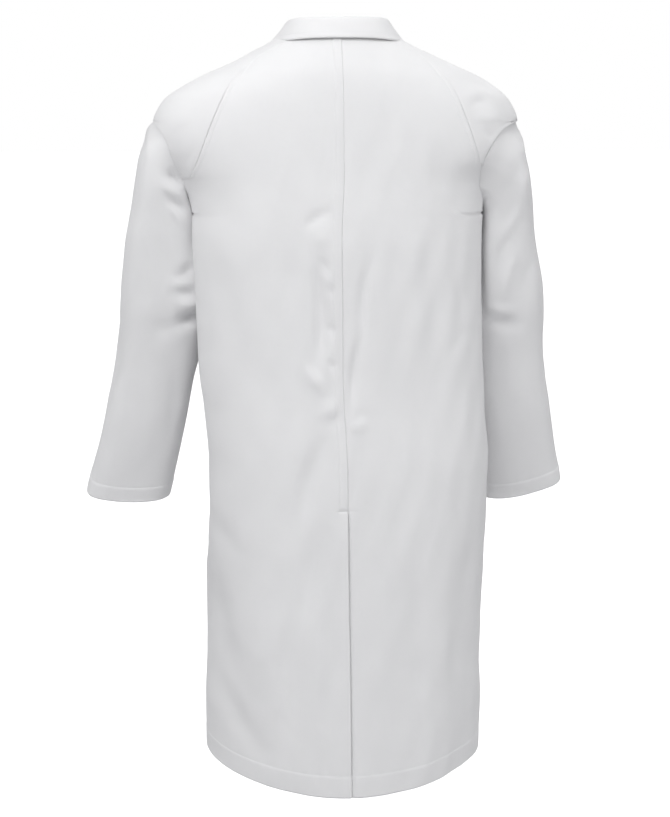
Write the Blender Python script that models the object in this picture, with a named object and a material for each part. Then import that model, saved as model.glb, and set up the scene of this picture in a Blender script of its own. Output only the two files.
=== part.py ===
"""Raglan-sleeved lab coat, buttoned, with every cut piece of cloth as its own thin solid.

Frame: metres, +Z up. The origin is the middle of the neck at the height of the back neck seam.
+X is the wearer's left, +Y the wearer's back, and the front faces -Y.
The cloth is drawn thicker than real cloth, and seams and layers keep a small gap between solids.
"""
import math

import bmesh
import bpy
from mathutils import Vector

# ---------------------------------------------------------------- driving dimensions
CLOTH = 0.0012              # thickness of the main cloth
FACING_CLOTH = 0.0010
LAYER_GAP = 0.0005          # air between two layers that lie on each other
SEAM_GAP = 0.0010           # opening left between two pieces that are sewn edge to edge
RAGLAN_GAP = 0.0018         # the same along the raglan seams, which cross the rows at a slant
LAYER = CLOTH + LAYER_GAP   # depth that one more layer takes

HEM_AT_SIDE = -1.003        # height of the hem at the side seams
HEM_DROP = 0.033            # how much lower the hem hangs at centre back and centre front
BACK_SKIRT_TOP = -0.675     # where the back skirt starts to swing, below the top of the vent
FRONT_SKIRT_TOP = -0.700    # where the front skirt starts to swing, below the last button
SIDE_SEAM_Y = -0.008        # the side seam and the arm lie just in front of the neck's middle
VENT_UNDERLAP = 0.040       # width of the right half that lies under the left half in the vent

SHOULDER_END = -0.120       # height where the raglan cap ends over the arm
RAGLAN_END = -0.197         # height where the raglan seam runs out into the armhole edge
ARMPIT = -0.245             # lowest point of the armhole
ARM_HALF_DEPTH = 0.050      # half of the armhole's depth from front to back
ARCH_ROUND = 0.050          # height of the round top of the armhole
ARM_TUCK = 0.004            # how far inside the armhole's edge the sleeve starts

FRONT_OVERLAP = 0.018       # each front reaches this far past the centre line
BREAK_POINT = -0.270        # where the lapel starts to fold back
BUTTON_HEIGHTS = [-0.300 - 0.095 * count for count in range(5)]
BUTTON_RADIUS = 0.010
BUTTON_DEPTH = 0.0030

# Body measurements from the neck down: (height, value).
HALF_WIDTH = [(0.000, 0.0740), (-0.0145, 0.0935), (-0.025, 0.116), (-0.0385, 0.145), (-0.065, 0.202),
              (-0.0925, 0.237), (-0.120, 0.253), (-0.140, 0.237), (-0.160, 0.223), (-0.180, 0.213),
              (-0.205, 0.206), (-0.250, 0.2045), (-0.420, 0.2035), (-0.600, 0.1985), (-0.855, 0.1930),
              (-0.930, 0.1955), (-1.040, 0.1940)]
BACK_DEPTH = [(0.000, 0.066), (-0.030, 0.085), (-0.060, 0.100), (-0.100, 0.108), (-0.170, 0.115),
              (-0.300, 0.125), (-0.450, 0.125), (-0.600, 0.135), (-0.750, 0.140), (-1.040, 0.150)]
FRONT_DEPTH = [(0.000, 0.038), (-0.030, 0.050), (-0.060, 0.075), (-0.090, 0.092), (-0.150, 0.115),
               (-0.250, 0.128), (-0.450, 0.130), (-0.600, 0.135), (-0.800, 0.142), (-1.040, 0.150)]
SQUARENESS = [(0.000, 2.05), (-0.060, 2.30), (-0.150, 2.70), (-0.550, 2.70), (-0.800, 2.40), (-1.040, 2.20)]
SWAY = [(-0.250, 0.0), (-0.600, -0.011), (-0.820, -0.008), (-1.040, -0.007)]
ARM_DENT = [(-0.200, 0.0), (-0.245, 0.13), (-0.300, 0.18), (-0.470, 0.19), (-0.550, 0.15), (-0.640, 0.08),
            (-0.740, 0.0)]
DENT_Y = -0.030             # the sleeve presses into the side of the body here
DENT_REACH = 0.045

BACK_RAGLAN = [(-0.004, 0.062), (-0.021, 0.091), (-0.035, 0.117), (-0.0565, 0.139), (-0.073, 0.155),
               (-0.110, 0.167), (-0.140, 0.179), (-0.170, 0.189), (-0.200, 0.1970)]
FRONT_RAGLAN = [(-0.010, 0.0765), (-0.022, 0.083), (-0.035, 0.104), (-0.0565, 0.133), (-0.073, 0.150),
                (-0.110, 0.164), (-0.140, 0.175), (-0.170, 0.184), (-0.200, 0.1920)]
ROLL_LINE = [(-0.004, 0.0775), (-0.012, 0.0770), (-0.030, 0.0745), (-0.056, 0.0700), (-0.090, 0.0620),
             (BREAK_POINT, -FRONT_OVERLAP)]
LAPEL_EDGE = [(-0.062, 0.112), (-0.085, 0.122), (-0.120, 0.112), (-0.200, 0.055), (BREAK_POINT, -0.010)]

# Sleeves: (height, distance from the coat's middle) of the outer and inner side, left and right.
SLEEVE_OUTER = {
    1: [(-0.116, 0.2440), (-0.122, 0.2475), (-0.128, 0.2550), (-0.147, 0.2645), (-0.174, 0.2737), (-0.229, 0.2827),
        (-0.284, 0.2918), (-0.340, 0.2953), (-0.452, 0.3095), (-0.508, 0.3202), (-0.565, 0.3322),
        (-0.650, 0.3550)],
    -1: [(-0.116, 0.2440), (-0.122, 0.2475), (-0.128, 0.2545), (-0.148, 0.2617), (-0.176, 0.2680), (-0.232, 0.2771),
         (-0.288, 0.2822), (-0.345, 0.2873), (-0.459, 0.2977), (-0.517, 0.3072), (-0.575, 0.3169),
         (-0.650, 0.3320)],
}
SLEEVE_INNER = {
    1: [(-0.116, 0.232), (-0.140, 0.216), (-0.160, 0.206), (-0.180, 0.202), (-0.245, 0.199),
        (-0.300, 0.184), (-0.360, 0.182), (-0.440, 0.190), (-0.481, 0.200), (-0.566, 0.2165),
        (-0.650, 0.2350)],
    -1: [(-0.116, 0.232), (-0.140, 0.216), (-0.160, 0.206), (-0.180, 0.202), (-0.245, 0.199),
         (-0.300, 0.187), (-0.360, 0.187), (-0.440, 0.191), (-0.500, 0.196), (-0.570, 0.2035),
         (-0.650, 0.2135)],
}
SLEEVE_MIDDLE_Y = [(-0.200, SIDE_SEAM_Y), (-0.260, -0.012), (-0.350, -0.026), (-0.450, -0.038),
                   (-0.650, -0.072)]
SLEEVE_HALF_DEPTH = [(-0.200, 0.048), (-0.260, 0.055), (-0.400, 0.058), (-0.650, 0.047)]
SLEEVE_TOP = -0.116
SLEEVE_SQUARENESS = 2.2
ARMHOLE_LEAN = 4            # how long the sleeve's top edge stays high before it drops to the armpit
CUFF_MIDDLE = -0.6380
CUFF_FORWARD_TILT = 0.0145  # the back of the cuff hangs lower than its front
CUFF_SIDE_TILT = {1: 0.003, -1: 0.014}
SHOULDER_PIVOT = Vector((0.246, SIDE_SEAM_Y, -0.138))
SKIRT_PIVOTS = {1: Vector((0.1900, SIDE_SEAM_Y, -0.850)), -1: Vector((-0.2075, SIDE_SEAM_Y, -0.850))}

ORIGIN = Vector((0.0, 0.0, 0.0))
INSIDE_BODY = Vector((0.0, 0.0, -0.300))

# Heights of the rows of points. Pieces that are sewn together share their rows along the seam.
SHOULDER_ROWS = [-0.006, -0.013, -0.022, -0.032, -0.045, -0.060, -0.080, -0.100, SHOULDER_END, -0.124,
                 -0.131, -0.145, -0.165, RAGLAN_END + 2.0 * SEAM_GAP]
FRONT_TOP = -0.038          # the front starts lower than the back, below the collar's ends
FIRST_SEAM_ROW = 3          # the first shoulder row where the front raglan piece has its seam
BACK_ROWS = SHOULDER_ROWS + [-0.212, -0.230, ARMPIT, -0.290, -0.350, -0.420, -0.500, -0.590,
                             BACK_SKIRT_TOP + SEAM_GAP]
FACING_ROWS = [BREAK_POINT, -0.340, -0.420, -0.500, -0.600, FRONT_SKIRT_TOP + SEAM_GAP]
FRONT_ROWS = [FRONT_TOP] + SHOULDER_ROWS[FIRST_SEAM_ROW + 1:] + [-0.212, -0.230, ARMPIT] + FACING_ROWS
SKIRT_STEPS = 5
BACK_COLUMNS = 8
FACING_COLUMNS = 3          # columns of a front piece that its facing lies behind
FACING_WIDTH = 0.068
FACING_MOST = 0.45          # the facing never takes more than this share of the front's width
REST_COLUMNS = 5
RAGLAN_COLUMNS = 4
SLEEVE_COLUMNS = 7
SLEEVE_STEPS = 12
SLEEVE_STEP_GROWTH = 1.5    # the rows lie closer together under the arch of the armhole

COTTON = (0.86, 0.87, 0.88, 1.0)
COTTON_SHADE = (0.78, 0.79, 0.81, 1.0)
TAPE = (0.92, 0.92, 0.90, 1.0)
PEARL = (0.90, 0.89, 0.86, 1.0)


# ---------------------------------------------------------------- measuring the body
def measure(stations, height):
    """Smooth value at a height from (height, value) stations listed from the top down."""
    if height >= stations[0][0]:
        return stations[0][1]
    if height <= stations[-1][0]:
        return stations[-1][1]
    index = next(i for i in range(len(stations) - 1) if height >= stations[i + 1][0])
    (upper_z, upper), (lower_z, lower) = stations[index], stations[index + 1]
    span = lower_z - upper_z
    slopes = [station_slope(stations, i) for i in (index, index + 1)]
    t = (height - upper_z) / span
    return ((2 * t ** 3 - 3 * t ** 2 + 1) * upper + (t ** 3 - 2 * t ** 2 + t) * span * slopes[0]
            + (3 * t ** 2 - 2 * t ** 3) * lower + (t ** 3 - t ** 2) * span * slopes[1])


def station_slope(stations, index):
    """Slope at a station that never overshoots: zero at a turning point, else the harmonic mean."""
    if index == 0 or index == len(stations) - 1:
        near = 1 if index == 0 else index
        return (stations[near][1] - stations[near - 1][1]) / (stations[near][0] - stations[near - 1][0])
    before = ((stations[index][1] - stations[index - 1][1]) / (stations[index][0] - stations[index - 1][0]))
    after = ((stations[index + 1][1] - stations[index][1]) / (stations[index + 1][0] - stations[index][0]))
    if before * after <= 0.0:
        return 0.0
    return 2.0 * before * after / (before + after)


def body_point(theta, z, side):
    """Point on the body: theta is 0 at centre back, a quarter turn at the side, half a turn in front."""
    width = measure(HALF_WIDTH, z)
    depth = measure(BACK_DEPTH if math.cos(theta) > 0.0 else FRONT_DEPTH, z)
    power = measure(SQUARENESS, z)
    across, along = math.sin(theta), math.cos(theta)
    scale = (abs(across) ** power + abs(along) ** power) ** (-1.0 / power)
    x = width * scale * across
    y = depth * scale * along
    x *= 1.0 - measure(ARM_DENT, z) * math.exp(-((y - DENT_Y) / DENT_REACH) ** 2)
    return Vector((side * x + measure(SWAY, z), y, z))


def theta_at_x(x, z, front):
    """Angle of the body point at a distance x from the middle, on the back or on the front."""
    ratio = max(-0.9999, min(0.9999, x / measure(HALF_WIDTH, z)))
    power = measure(SQUARENESS, z)
    along = (1.0 - abs(ratio) ** power) ** (1.0 / power)
    return math.atan2(ratio, -along) % (2.0 * math.pi) if front else math.atan2(ratio, along)


def theta_at_y(y, z):
    """Angle of the body point at a depth y, on the left side."""
    ratio = y / measure(BACK_DEPTH if y > 0.0 else FRONT_DEPTH, z)
    power = measure(SQUARENESS, z)
    return math.atan2((1.0 - abs(ratio) ** power) ** (1.0 / power), ratio)


def hem_height(theta):
    """Height of the hem: level at the sides, lower at centre back and centre front."""
    return HEM_AT_SIDE - HEM_DROP * abs(math.cos(theta)) ** 1.5


def armhole_half(z):
    """Half of the armhole's opening, from front to back, at a height."""
    if z >= SHOULDER_END or z <= ARMPIT:
        return 0.0
    top_middle = SHOULDER_END - ARCH_ROUND
    if z > top_middle:
        return ARM_HALF_DEPTH * math.sqrt(1.0 - ((z - top_middle) / ARCH_ROUND) ** 2)
    if z >= RAGLAN_END:
        return ARM_HALF_DEPTH
    return ARM_HALF_DEPTH * math.sqrt(1.0 - ((z - RAGLAN_END) / (RAGLAN_END - ARMPIT)) ** 2)


# ---------------------------------------------------------------- edges of the pieces, as angles
def angular_gap(z):
    """Angle that keeps half a seam gap on the body's side."""
    return 0.5 * SEAM_GAP / measure(BACK_DEPTH, z)


def armhole_or_side(z, toward_back):
    """Edge of a back or front piece on the arm's side: the armhole, or the side seam below it."""
    sign = 1.0 if toward_back else -1.0
    return theta_at_y(SIDE_SEAM_Y + sign * (armhole_half(z) + 0.5 * SEAM_GAP), z)


def back_centre(z):
    return theta_at_x(0.5 * SEAM_GAP, z, front=False)


def vent_underlap(z):
    return theta_at_x(-VENT_UNDERLAP, z, front=False)


def back_outer(z):
    if z > RAGLAN_END:
        return theta_at_x(measure(BACK_RAGLAN, z), z, front=False)
    return armhole_or_side(z, toward_back=True)


def front_outer(z):
    if z > RAGLAN_END:
        return theta_at_x(measure(FRONT_RAGLAN, z), z, front=True)
    return armhole_or_side(z, toward_back=False)


def front_inner(z):
    if z > BREAK_POINT:
        return theta_at_x(measure(ROLL_LINE, z), z, front=True)
    return theta_at_x(-FRONT_OVERLAP, z, front=True)


def raglan_back_inner(z):
    return back_outer(z) + RAGLAN_GAP / measure(BACK_DEPTH, z)


def raglan_front_inner(z):
    if z > SHOULDER_ROWS[FIRST_SEAM_ROW]:
        return theta_at_x(measure(ROLL_LINE, z), z, front=True)
    return front_outer(z) - RAGLAN_GAP / measure(BACK_DEPTH, z)


def raglan_outer(z, toward_back):
    """Edge of a raglan piece on the shoulder ridge, or on the arch over the sleeve below it."""
    if z >= SHOULDER_END:
        sign = -1.0 if toward_back else 1.0
        return 0.5 * math.pi + sign * angular_gap(z)
    return armhole_or_side(z, toward_back)


def spread(start, end, columns):
    """Evenly spaced angles from the start to the end."""
    return [start + (end - start) * c / columns for c in range(columns + 1)]


def back_angles(z):
    return spread(back_centre(z), back_outer(z), BACK_COLUMNS)


def underlapping_back_angles(z):
    return spread(vent_underlap(z), back_outer(z), BACK_COLUMNS)


def front_angles(z):
    """The first columns cover the facing's width, so that the facing fits behind them."""
    start, end = front_inner(z), front_outer(z)
    facing = theta_at_x(FACING_WIDTH - FRONT_OVERLAP, z, front=True)
    split = start + (end - start) * min(FACING_MOST, (facing - start) / (end - start))
    return spread(start, split, FACING_COLUMNS)[:-1] + spread(split, end, REST_COLUMNS)


def raglan_back_angles(z):
    return spread(raglan_back_inner(z), raglan_outer(z, True), RAGLAN_COLUMNS)


def raglan_front_angles(z):
    return spread(raglan_front_inner(z), raglan_outer(z, False), RAGLAN_COLUMNS)


# ---------------------------------------------------------------- building sheets of cloth
def body_rows(heights, angles, side):
    """Rows of points on the body, at the angles that belong to each height."""
    return [[body_point(theta, z, side) for theta in angles(z)] for z in heights]


def skirt_rows(top, angles, side):
    """Rows of points from the top of the skirt to the hem, which hangs lower at the middle."""
    rows = []
    for step in range(SKIRT_STEPS + 1):
        share = step / SKIRT_STEPS
        level = top + (HEM_AT_SIDE - top) * share
        rows.append([body_point(theta, top + (hem_height(theta) - top) * share, side)
                     for theta in angles(level)])
    return rows


def grid_normal(rows, i, j, inside):
    """Unit normal of a grid of points at one point, on the side away from the inside point."""
    down = rows[min(i + 1, len(rows) - 1)][j] - rows[max(i - 1, 0)][j]
    along = rows[i][min(j + 1, len(rows[i]) - 1)] - rows[i][max(j - 1, 0)]
    normal = down.cross(along).normalized()
    return normal if normal.dot(rows[i][j] - inside) > 0.0 else -normal


def lifted(rows, height, inside=INSIDE_BODY):
    """The same grid moved outward; height is a distance or a function of the point."""
    result = []
    for i, row in enumerate(rows):
        line = []
        for j, point in enumerate(row):
            distance = height(point) if callable(height) else height
            line.append(point + grid_normal(rows, i, j, inside) * distance)
        result.append(line)
    return result


def material_for(name, colour, roughness=0.85):
    material = bpy.data.materials.new(name)
    material.use_nodes = True
    shader = material.node_tree.nodes["Principled BSDF"]
    shader.inputs["Base Color"].default_value = colour
    shader.inputs["Roughness"].default_value = roughness
    shader.inputs["Metallic"].default_value = 0.0
    return material


def new_object(name, points, faces, colour, pivot=ORIGIN, roughness=0.85):
    """Object whose origin is the pivot it turns about."""
    mesh = bpy.data.meshes.new(name)
    mesh.from_pydata([tuple(point - pivot) for point in points], [], faces)
    mesh.materials.append(material_for(name, colour, roughness))
    mesh.shade_smooth()
    item = bpy.data.objects.new(name, mesh)
    item.location = pivot
    bpy.context.scene.collection.objects.link(item)
    return item


def cloth(name, rows, colour=COTTON, pivot=ORIGIN, inside=INSIDE_BODY, thickness=CLOTH):
    """Turn a grid of points on the outer face into one closed sheet that is thick on its inner side."""
    points = [point for row in rows for point in row]
    width = len(rows[0])
    faces = []
    facing = 0.0
    for i in range(len(rows) - 1):
        for j in range(width - 1):
            face = (i * width + j, (i + 1) * width + j, (i + 1) * width + j + 1, i * width + j + 1)
            corners = [points[k] for k in face]
            normal = (corners[2] - corners[0]).cross(corners[3] - corners[1])
            facing += normal.dot(sum(corners, Vector()) / 4.0 - inside)
            faces.append(face)
    if facing < 0.0:
        faces = [face[::-1] for face in faces]
    item = new_object(name, points, faces, colour, pivot)
    thick = item.modifiers.new("cloth thickness", "SOLIDIFY")
    thick.thickness = thickness
    thick.offset = -1.0
    return item


# ---------------------------------------------------------------- body panels
def closeness_to_edge(x, far, near):
    """0 at the far distance from the middle or beyond, rising smoothly to 1 at the near one."""
    t = max(0.0, min(1.0, (far - x) / (far - near)))
    return t * t * (3.0 - 2.0 * t)


def vent_inset(point):
    """The right half goes down under the left half at the vent."""
    return -1.2 * LAYER * closeness_to_edge(-point.x + measure(SWAY, point.z), 0.030, 0.003)


def right_front_inset(point):
    """The right front goes under the left front and its facing."""
    return -2.1 * LAYER * closeness_to_edge(-point.x + measure(SWAY, point.z), 0.085, 0.035)


def add_back():
    for word, side, skirt_angles in (("left", 1, back_angles), ("right", -1, underlapping_back_angles)):
        cloth(f"back_{word}_upper", body_rows(BACK_ROWS, back_angles, side))
        rows = skirt_rows(BACK_SKIRT_TOP, skirt_angles, side)
        if side < 0:
            rows = lifted(rows, vent_inset)
        cloth(f"back_{word}_skirt", rows, COTTON_SHADE, SKIRT_PIVOTS[side])


def add_front():
    """Each front with its facing, which lies behind the front's first columns."""
    for word, side in (("left", 1), ("right", -1)):
        upper = body_rows(FRONT_ROWS, front_angles, side)
        skirt = skirt_rows(FRONT_SKIRT_TOP, front_angles, side)
        if side < 0:
            upper = lifted(upper, right_front_inset)
            skirt = lifted(skirt, right_front_inset)
        cloth(f"front_{word}_upper", upper)
        cloth(f"front_{word}_skirt", skirt, COTTON_SHADE, SKIRT_PIVOTS[side])
        facing = lifted([row[:FACING_COLUMNS + 1] for row in upper[-len(FACING_ROWS):]], -LAYER)
        facing_skirt = lifted([row[:FACING_COLUMNS + 1] for row in skirt], -LAYER)
        cloth(f"facing_{word}", facing, TAPE, thickness=FACING_CLOTH)
        cloth(f"facing_{word}_skirt", facing_skirt, TAPE, SKIRT_PIVOTS[side], thickness=FACING_CLOTH)


def add_raglans():
    for word, side in (("left", 1), ("right", -1)):
        cloth(f"raglan_{word}_back", body_rows(SHOULDER_ROWS, raglan_back_angles, side), COTTON_SHADE)
        cloth(f"raglan_{word}_front", body_rows(SHOULDER_ROWS[1:], raglan_front_angles, side), COTTON_SHADE)


# ---------------------------------------------------------------- neck
NECK_FACING_HALF_WIDTH = 0.055
NECK_FACING_ROWS = [-0.008, -0.022, -0.040, -0.062]
NECK_FACING_DEPTH = 2.0 * LAYER
LABEL_HALF_WIDTH = 0.016
LABEL_ROWS = [-0.034, -0.042, -0.050]


def across_back(heights, half_width, columns, depth):
    """Strip across centre back, at a depth behind the outer face."""
    rows = []
    for z in heights:
        end = theta_at_x(half_width, z, front=False)
        rows.append([body_point(end * (2.0 * c / columns - 1.0), z, 1) for c in range(columns + 1)])
    return lifted(rows, -depth)


def add_neck_inside():
    facing = across_back(NECK_FACING_ROWS, NECK_FACING_HALF_WIDTH, 10, NECK_FACING_DEPTH)
    cloth("back_neck_facing", facing, TAPE, thickness=FACING_CLOTH)
    label = across_back(LABEL_ROWS, LABEL_HALF_WIDTH, 4, NECK_FACING_DEPTH + 1.4 * LAYER)
    cloth("size_label", label, TAPE, thickness=0.5 * FACING_CLOTH)


LOOP_PATH = [(-0.036, -0.0240), (-0.029, -0.0130), (-0.018, -0.0060), (-0.009, -0.0040),
             (0.009, -0.0040), (0.018, -0.0060), (0.029, -0.0130), (0.036, -0.0240)]
LOOP_WIDTH = 0.008
LOOP_THICKNESS = 0.0014
LOOP_FRONT_Y = 0.044        # the tape's front edge


def add_hanger_loop():
    """Flat tape bridge inside the neck. A hook goes under its level middle."""
    rows = []
    for y in (LOOP_FRONT_Y, LOOP_FRONT_Y + LOOP_WIDTH):
        rows.append([Vector((x, y, z)) for x, z in LOOP_PATH])
    cloth("hanger_loop", rows, TAPE, inside=Vector((0.0, 0.05, -0.1)), thickness=LOOP_THICKNESS)


# ---------------------------------------------------------------- collar and lapels
def on_front(x, z, height, side=1):
    """Point above the front's outer face at a distance x from the middle."""
    step = 0.002
    theta = theta_at_x(x, z, front=True)
    point = body_point(theta, z, side)
    down = body_point(theta_at_x(x, z - step, front=True), z - step, side) - point
    along = body_point(theta_at_x(x + step, z, front=True), z, side) - point
    normal = down.cross(along).normalized()
    if normal.dot(point - INSIDE_BODY) < 0.0:
        normal = -normal
    return point + normal * height


def collar_stations():
    """Base, upper stand, roll, upper fall and edge of the left half of the collar, from centre back."""
    return [
        [(0.000, 0.0645, -0.0005), (0.000, 0.0575, 0.0105), (0.000, 0.0590, 0.0160), (0.000, 0.0650, 0.0130),
         (0.000, 0.0815, -0.0060)],
        [(0.034, 0.0565, -0.0005), (0.033, 0.0505, 0.0105), (0.0335, 0.0520, 0.0160), (0.0355, 0.0580, 0.0125),
         (0.0430, 0.0760, -0.0070)],
        [(0.060, 0.0380, -0.0015), (0.0555, 0.0350, 0.0095), (0.0570, 0.0360, 0.0150), (0.0610, 0.0410, 0.0115),
         (0.0750, 0.0560, -0.0100)],
        [(0.0755, 0.0100, -0.0025), (0.0675, 0.0100, 0.0055), (0.0680, 0.0105, 0.0110),
         (0.0720, 0.0120, 0.0070), (0.0925, 0.0140, -0.0120)],
        [(0.0785, -0.0180, -0.0035), (0.0705, -0.0180, -0.0010), (0.0700, -0.0190, 0.0035),
         (0.0760, -0.0210, 0.0000), (0.1070, -0.0270, -0.0180)],
        [on_front(0.0800, -0.0340, 0.0040), on_front(0.0730, -0.0290, 0.0060), on_front(0.0700, -0.0260, 0.0100),
         on_front(0.0780, -0.0280, 0.0120), on_front(0.1140, -0.0450, 0.0080)],
        [on_front(0.0860, -0.0600, 0.0040), on_front(0.0700, -0.0500, 0.0040), on_front(0.0655, -0.0485, 0.0075),
         on_front(0.0720, -0.0500, 0.0105), on_front(0.1120, -0.0570, 0.0080)],
    ]


PROFILE_STEPS = 2           # points between two profile points, from the base to the edge


def spline(points, steps):
    """Points along a smooth curve through the given points."""
    result = []
    last = len(points) - 1
    for i in range(last):
        before = points[max(i - 1, 0)]
        after = points[min(i + 2, last)]
        for s in range(steps):
            t = s / steps
            result.append(0.5 * ((2.0 * points[i]) + (points[i + 1] - before) * t
                                 + (2.0 * before - 5.0 * points[i] + 4.0 * points[i + 1] - after) * t ** 2
                                 + (3.0 * points[i] - before - 3.0 * points[i + 1] + after) * t ** 3))
    result.append(points[last])
    return result


def collar_rows():
    """Grid over the whole collar: rows run from the base over the roll to the edge."""
    half = [[Vector(point) for point in station] for station in collar_stations()]
    mirrored = [[Vector((-p.x, p.y, p.z)) for p in station] for station in half[:0:-1]]
    profiles = [spline(station, PROFILE_STEPS) for station in mirrored + half]
    return [[profile[i] for profile in profiles] for i in range(len(profiles[0]))]


def collar_layer(rows, distance):
    """The collar's grid moved to the convex side of its fold."""
    result = []
    for i, row in enumerate(rows):
        line = []
        for j, point in enumerate(row):
            down = rows[min(i + 1, len(rows) - 1)][j] - rows[max(i - 1, 0)][j]
            along = row[min(j + 1, len(row) - 1)] - row[max(j - 1, 0)]
            line.append(point + along.cross(down).normalized() * distance)
        result.append(line)
    return result


COLLAR_CLOTH = 0.0009
INTERLINING = 0.0005
COLLAR_GAP = 0.0006


def add_collar():
    """Under collar inside the fold, interlining in the middle, top collar on the outside."""
    rows = collar_rows()
    sample_row, sample_column = PROFILE_STEPS * 2, len(rows[0]) // 2
    moved = collar_layer(rows, 1.0)[sample_row][sample_column]
    outward = 1.0 if moved.z > rows[sample_row][sample_column].z else -1.0
    middle = COLLAR_GAP + INTERLINING
    layers = (("top_collar", middle + COLLAR_GAP + COLLAR_CLOTH, COLLAR_CLOTH, COTTON),
              ("collar_interlining", middle, INTERLINING, TAPE),
              ("under_collar", 0.0, COLLAR_CLOTH, COTTON_SHADE))
    for name, height, thickness, colour in layers:
        cloth(name, collar_layer(rows, outward * height), colour, thickness=thickness)


LAPEL_ROWS = 8
LAPEL_COLUMNS = 3
LAPEL_TOP = -0.066
LAPEL_END = {1: -0.262, -1: -0.222}
LAPEL_TIP_DROP = 0.020      # the lapel's top edge falls towards its tip
LAPEL_LIFT = 0.0024


def add_lapels():
    for word, side in (("left", 1), ("right", -1)):
        rows = []
        for i in range(LAPEL_ROWS + 1):
            share = i / LAPEL_ROWS
            row = []
            for c in range(LAPEL_COLUMNS + 1):
                across = c / LAPEL_COLUMNS
                top = LAPEL_TOP - LAPEL_TIP_DROP * across
                z = top + (LAPEL_END[side] - top) * share
                inner, outer = measure(ROLL_LINE, z) + SEAM_GAP, measure(LAPEL_EDGE, z)
                x = inner + (outer - inner) * across
                row.append(on_front(x, z, LAPEL_LIFT + 0.0012 * across, side))
            rows.append(row)
        cloth(f"lapel_{word}", rows, COTTON_SHADE)


# ---------------------------------------------------------------- pockets and buttons
POCKETS = {
    "chest_pocket": (1, 0.060, 0.165, -0.225, -0.355),
    "hip_pocket_left": (1, 0.048, 0.176, -0.500, -0.690),
    "hip_pocket_right": (-1, 0.048, 0.176, -0.500, -0.690),
}
POCKET_LIFT = 1.7 * LAYER   # a patch pocket stands a little off the front
POCKET_COLUMNS = 5
POCKET_ROWS = 4


def add_pockets():
    for name, (side, inner, outer, top, bottom) in POCKETS.items():
        rows = []
        for i in range(POCKET_ROWS + 1):
            z = top + (bottom - top) * i / POCKET_ROWS
            start, end = theta_at_x(inner, z, front=True), theta_at_x(outer, z, front=True)
            rows.append([body_point(start + (end - start) * c / POCKET_COLUMNS, z, side)
                         for c in range(POCKET_COLUMNS + 1)])
        cloth(name, lifted(rows, POCKET_LIFT), COTTON_SHADE)


def button_profile():
    """Half section of a button from its middle: a shallow dish inside a raised rim."""
    r, depth = BUTTON_RADIUS, BUTTON_DEPTH
    return [(0.0, 0.0), (0.86 * r, 0.0), (r, 0.35 * depth), (0.95 * r, 0.9 * depth), (0.86 * r, depth),
            (0.66 * r, 0.70 * depth), (0.0, 0.70 * depth)]


BUTTON_SIDES = 14
BUTTON_HOLE_RADIUS = 0.0011
BUTTON_HOLE_OFFSET = 0.0020
BUTTON_LIFT = 0.0006


def add_button(number, height):
    centre = body_point(theta_at_x(0.0, height, front=True), height, 1)
    centre.y -= BUTTON_LIFT
    profile = button_profile()
    points, faces = [Vector((0.0, 0.0, 0.0))], []
    for k in range(BUTTON_SIDES):
        turn = 2.0 * math.pi * k / BUTTON_SIDES
        for radius, out in profile[1:-1]:
            points.append(Vector((radius * math.cos(turn), -out, radius * math.sin(turn))))
    points.append(Vector((0.0, -profile[-1][1], 0.0)))
    ring = len(profile) - 2
    for k in range(BUTTON_SIDES):
        this, following = 1 + k * ring, 1 + ((k + 1) % BUTTON_SIDES) * ring
        faces.append((0, this, following))
        for s in range(ring - 1):
            faces.append((this + s, this + s + 1, following + s + 1, following + s))
        faces.append((len(points) - 1, following + ring - 1, this + ring - 1))
    item = new_object(f"button_{number}", [centre + p for p in points], faces, PEARL, centre, 0.35)
    shaped = bmesh.new()
    shaped.from_mesh(item.data)
    bmesh.ops.recalc_face_normals(shaped, faces=shaped.faces)
    shaped.to_mesh(item.data)
    shaped.free()
    drill_thread_holes(item, centre)


def drill_thread_holes(button, centre):
    for x_sign in (-1, 1):
        for z_sign in (-1, 1):
            place = centre + Vector((x_sign * BUTTON_HOLE_OFFSET, -0.5 * BUTTON_DEPTH,
                                     z_sign * BUTTON_HOLE_OFFSET))
            bpy.ops.mesh.primitive_cylinder_add(vertices=6, radius=BUTTON_HOLE_RADIUS, depth=4 * BUTTON_DEPTH,
                                                location=place, rotation=(0.5 * math.pi, 0.0, 0.0))
            drill = bpy.context.object
            drill.name = f"drill_{button.name}_{x_sign}_{z_sign}"
            drill.hide_render = True
            drill.display_type = "WIRE"
            cut = button.modifiers.new("thread hole", "BOOLEAN")
            cut.operation = "DIFFERENCE"
            cut.solver = "EXACT"
            cut.object = drill


# ---------------------------------------------------------------- sleeves
def sleeve_half_depth(z):
    """Half depth of the sleeve, narrow enough to pass the round top of the armhole."""
    free = measure(SLEEVE_HALF_DEPTH, z)
    if z < RAGLAN_END:
        return free
    return max(0.010, min(free, armhole_half(z) - ARM_TUCK))


def sleeve_point(phi, share, side):
    """phi is 0 on the outer side and half a turn on the inner side; share runs from top to cuff."""
    top = SLEEVE_TOP + (ARMPIT - SLEEVE_TOP) * ((1.0 - math.cos(phi)) / 2.0) ** ARMHOLE_LEAN
    cuff = CUFF_MIDDLE - CUFF_FORWARD_TILT * math.sin(phi) + CUFF_SIDE_TILT[side] * math.cos(phi)
    z = top + (cuff - top) * share
    inner, outer = measure(SLEEVE_INNER[side], z), measure(SLEEVE_OUTER[side], z)
    across, along = math.cos(phi), math.sin(phi)
    power = SLEEVE_SQUARENESS
    scale = (abs(across) ** power + abs(along) ** power) ** (-1.0 / power)
    x = 0.5 * (inner + outer) + 0.5 * (outer - inner) * across * scale
    y = measure(SLEEVE_MIDDLE_Y, z) + sleeve_half_depth(z) * along * scale
    return Vector((side * x, y, z))


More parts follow.
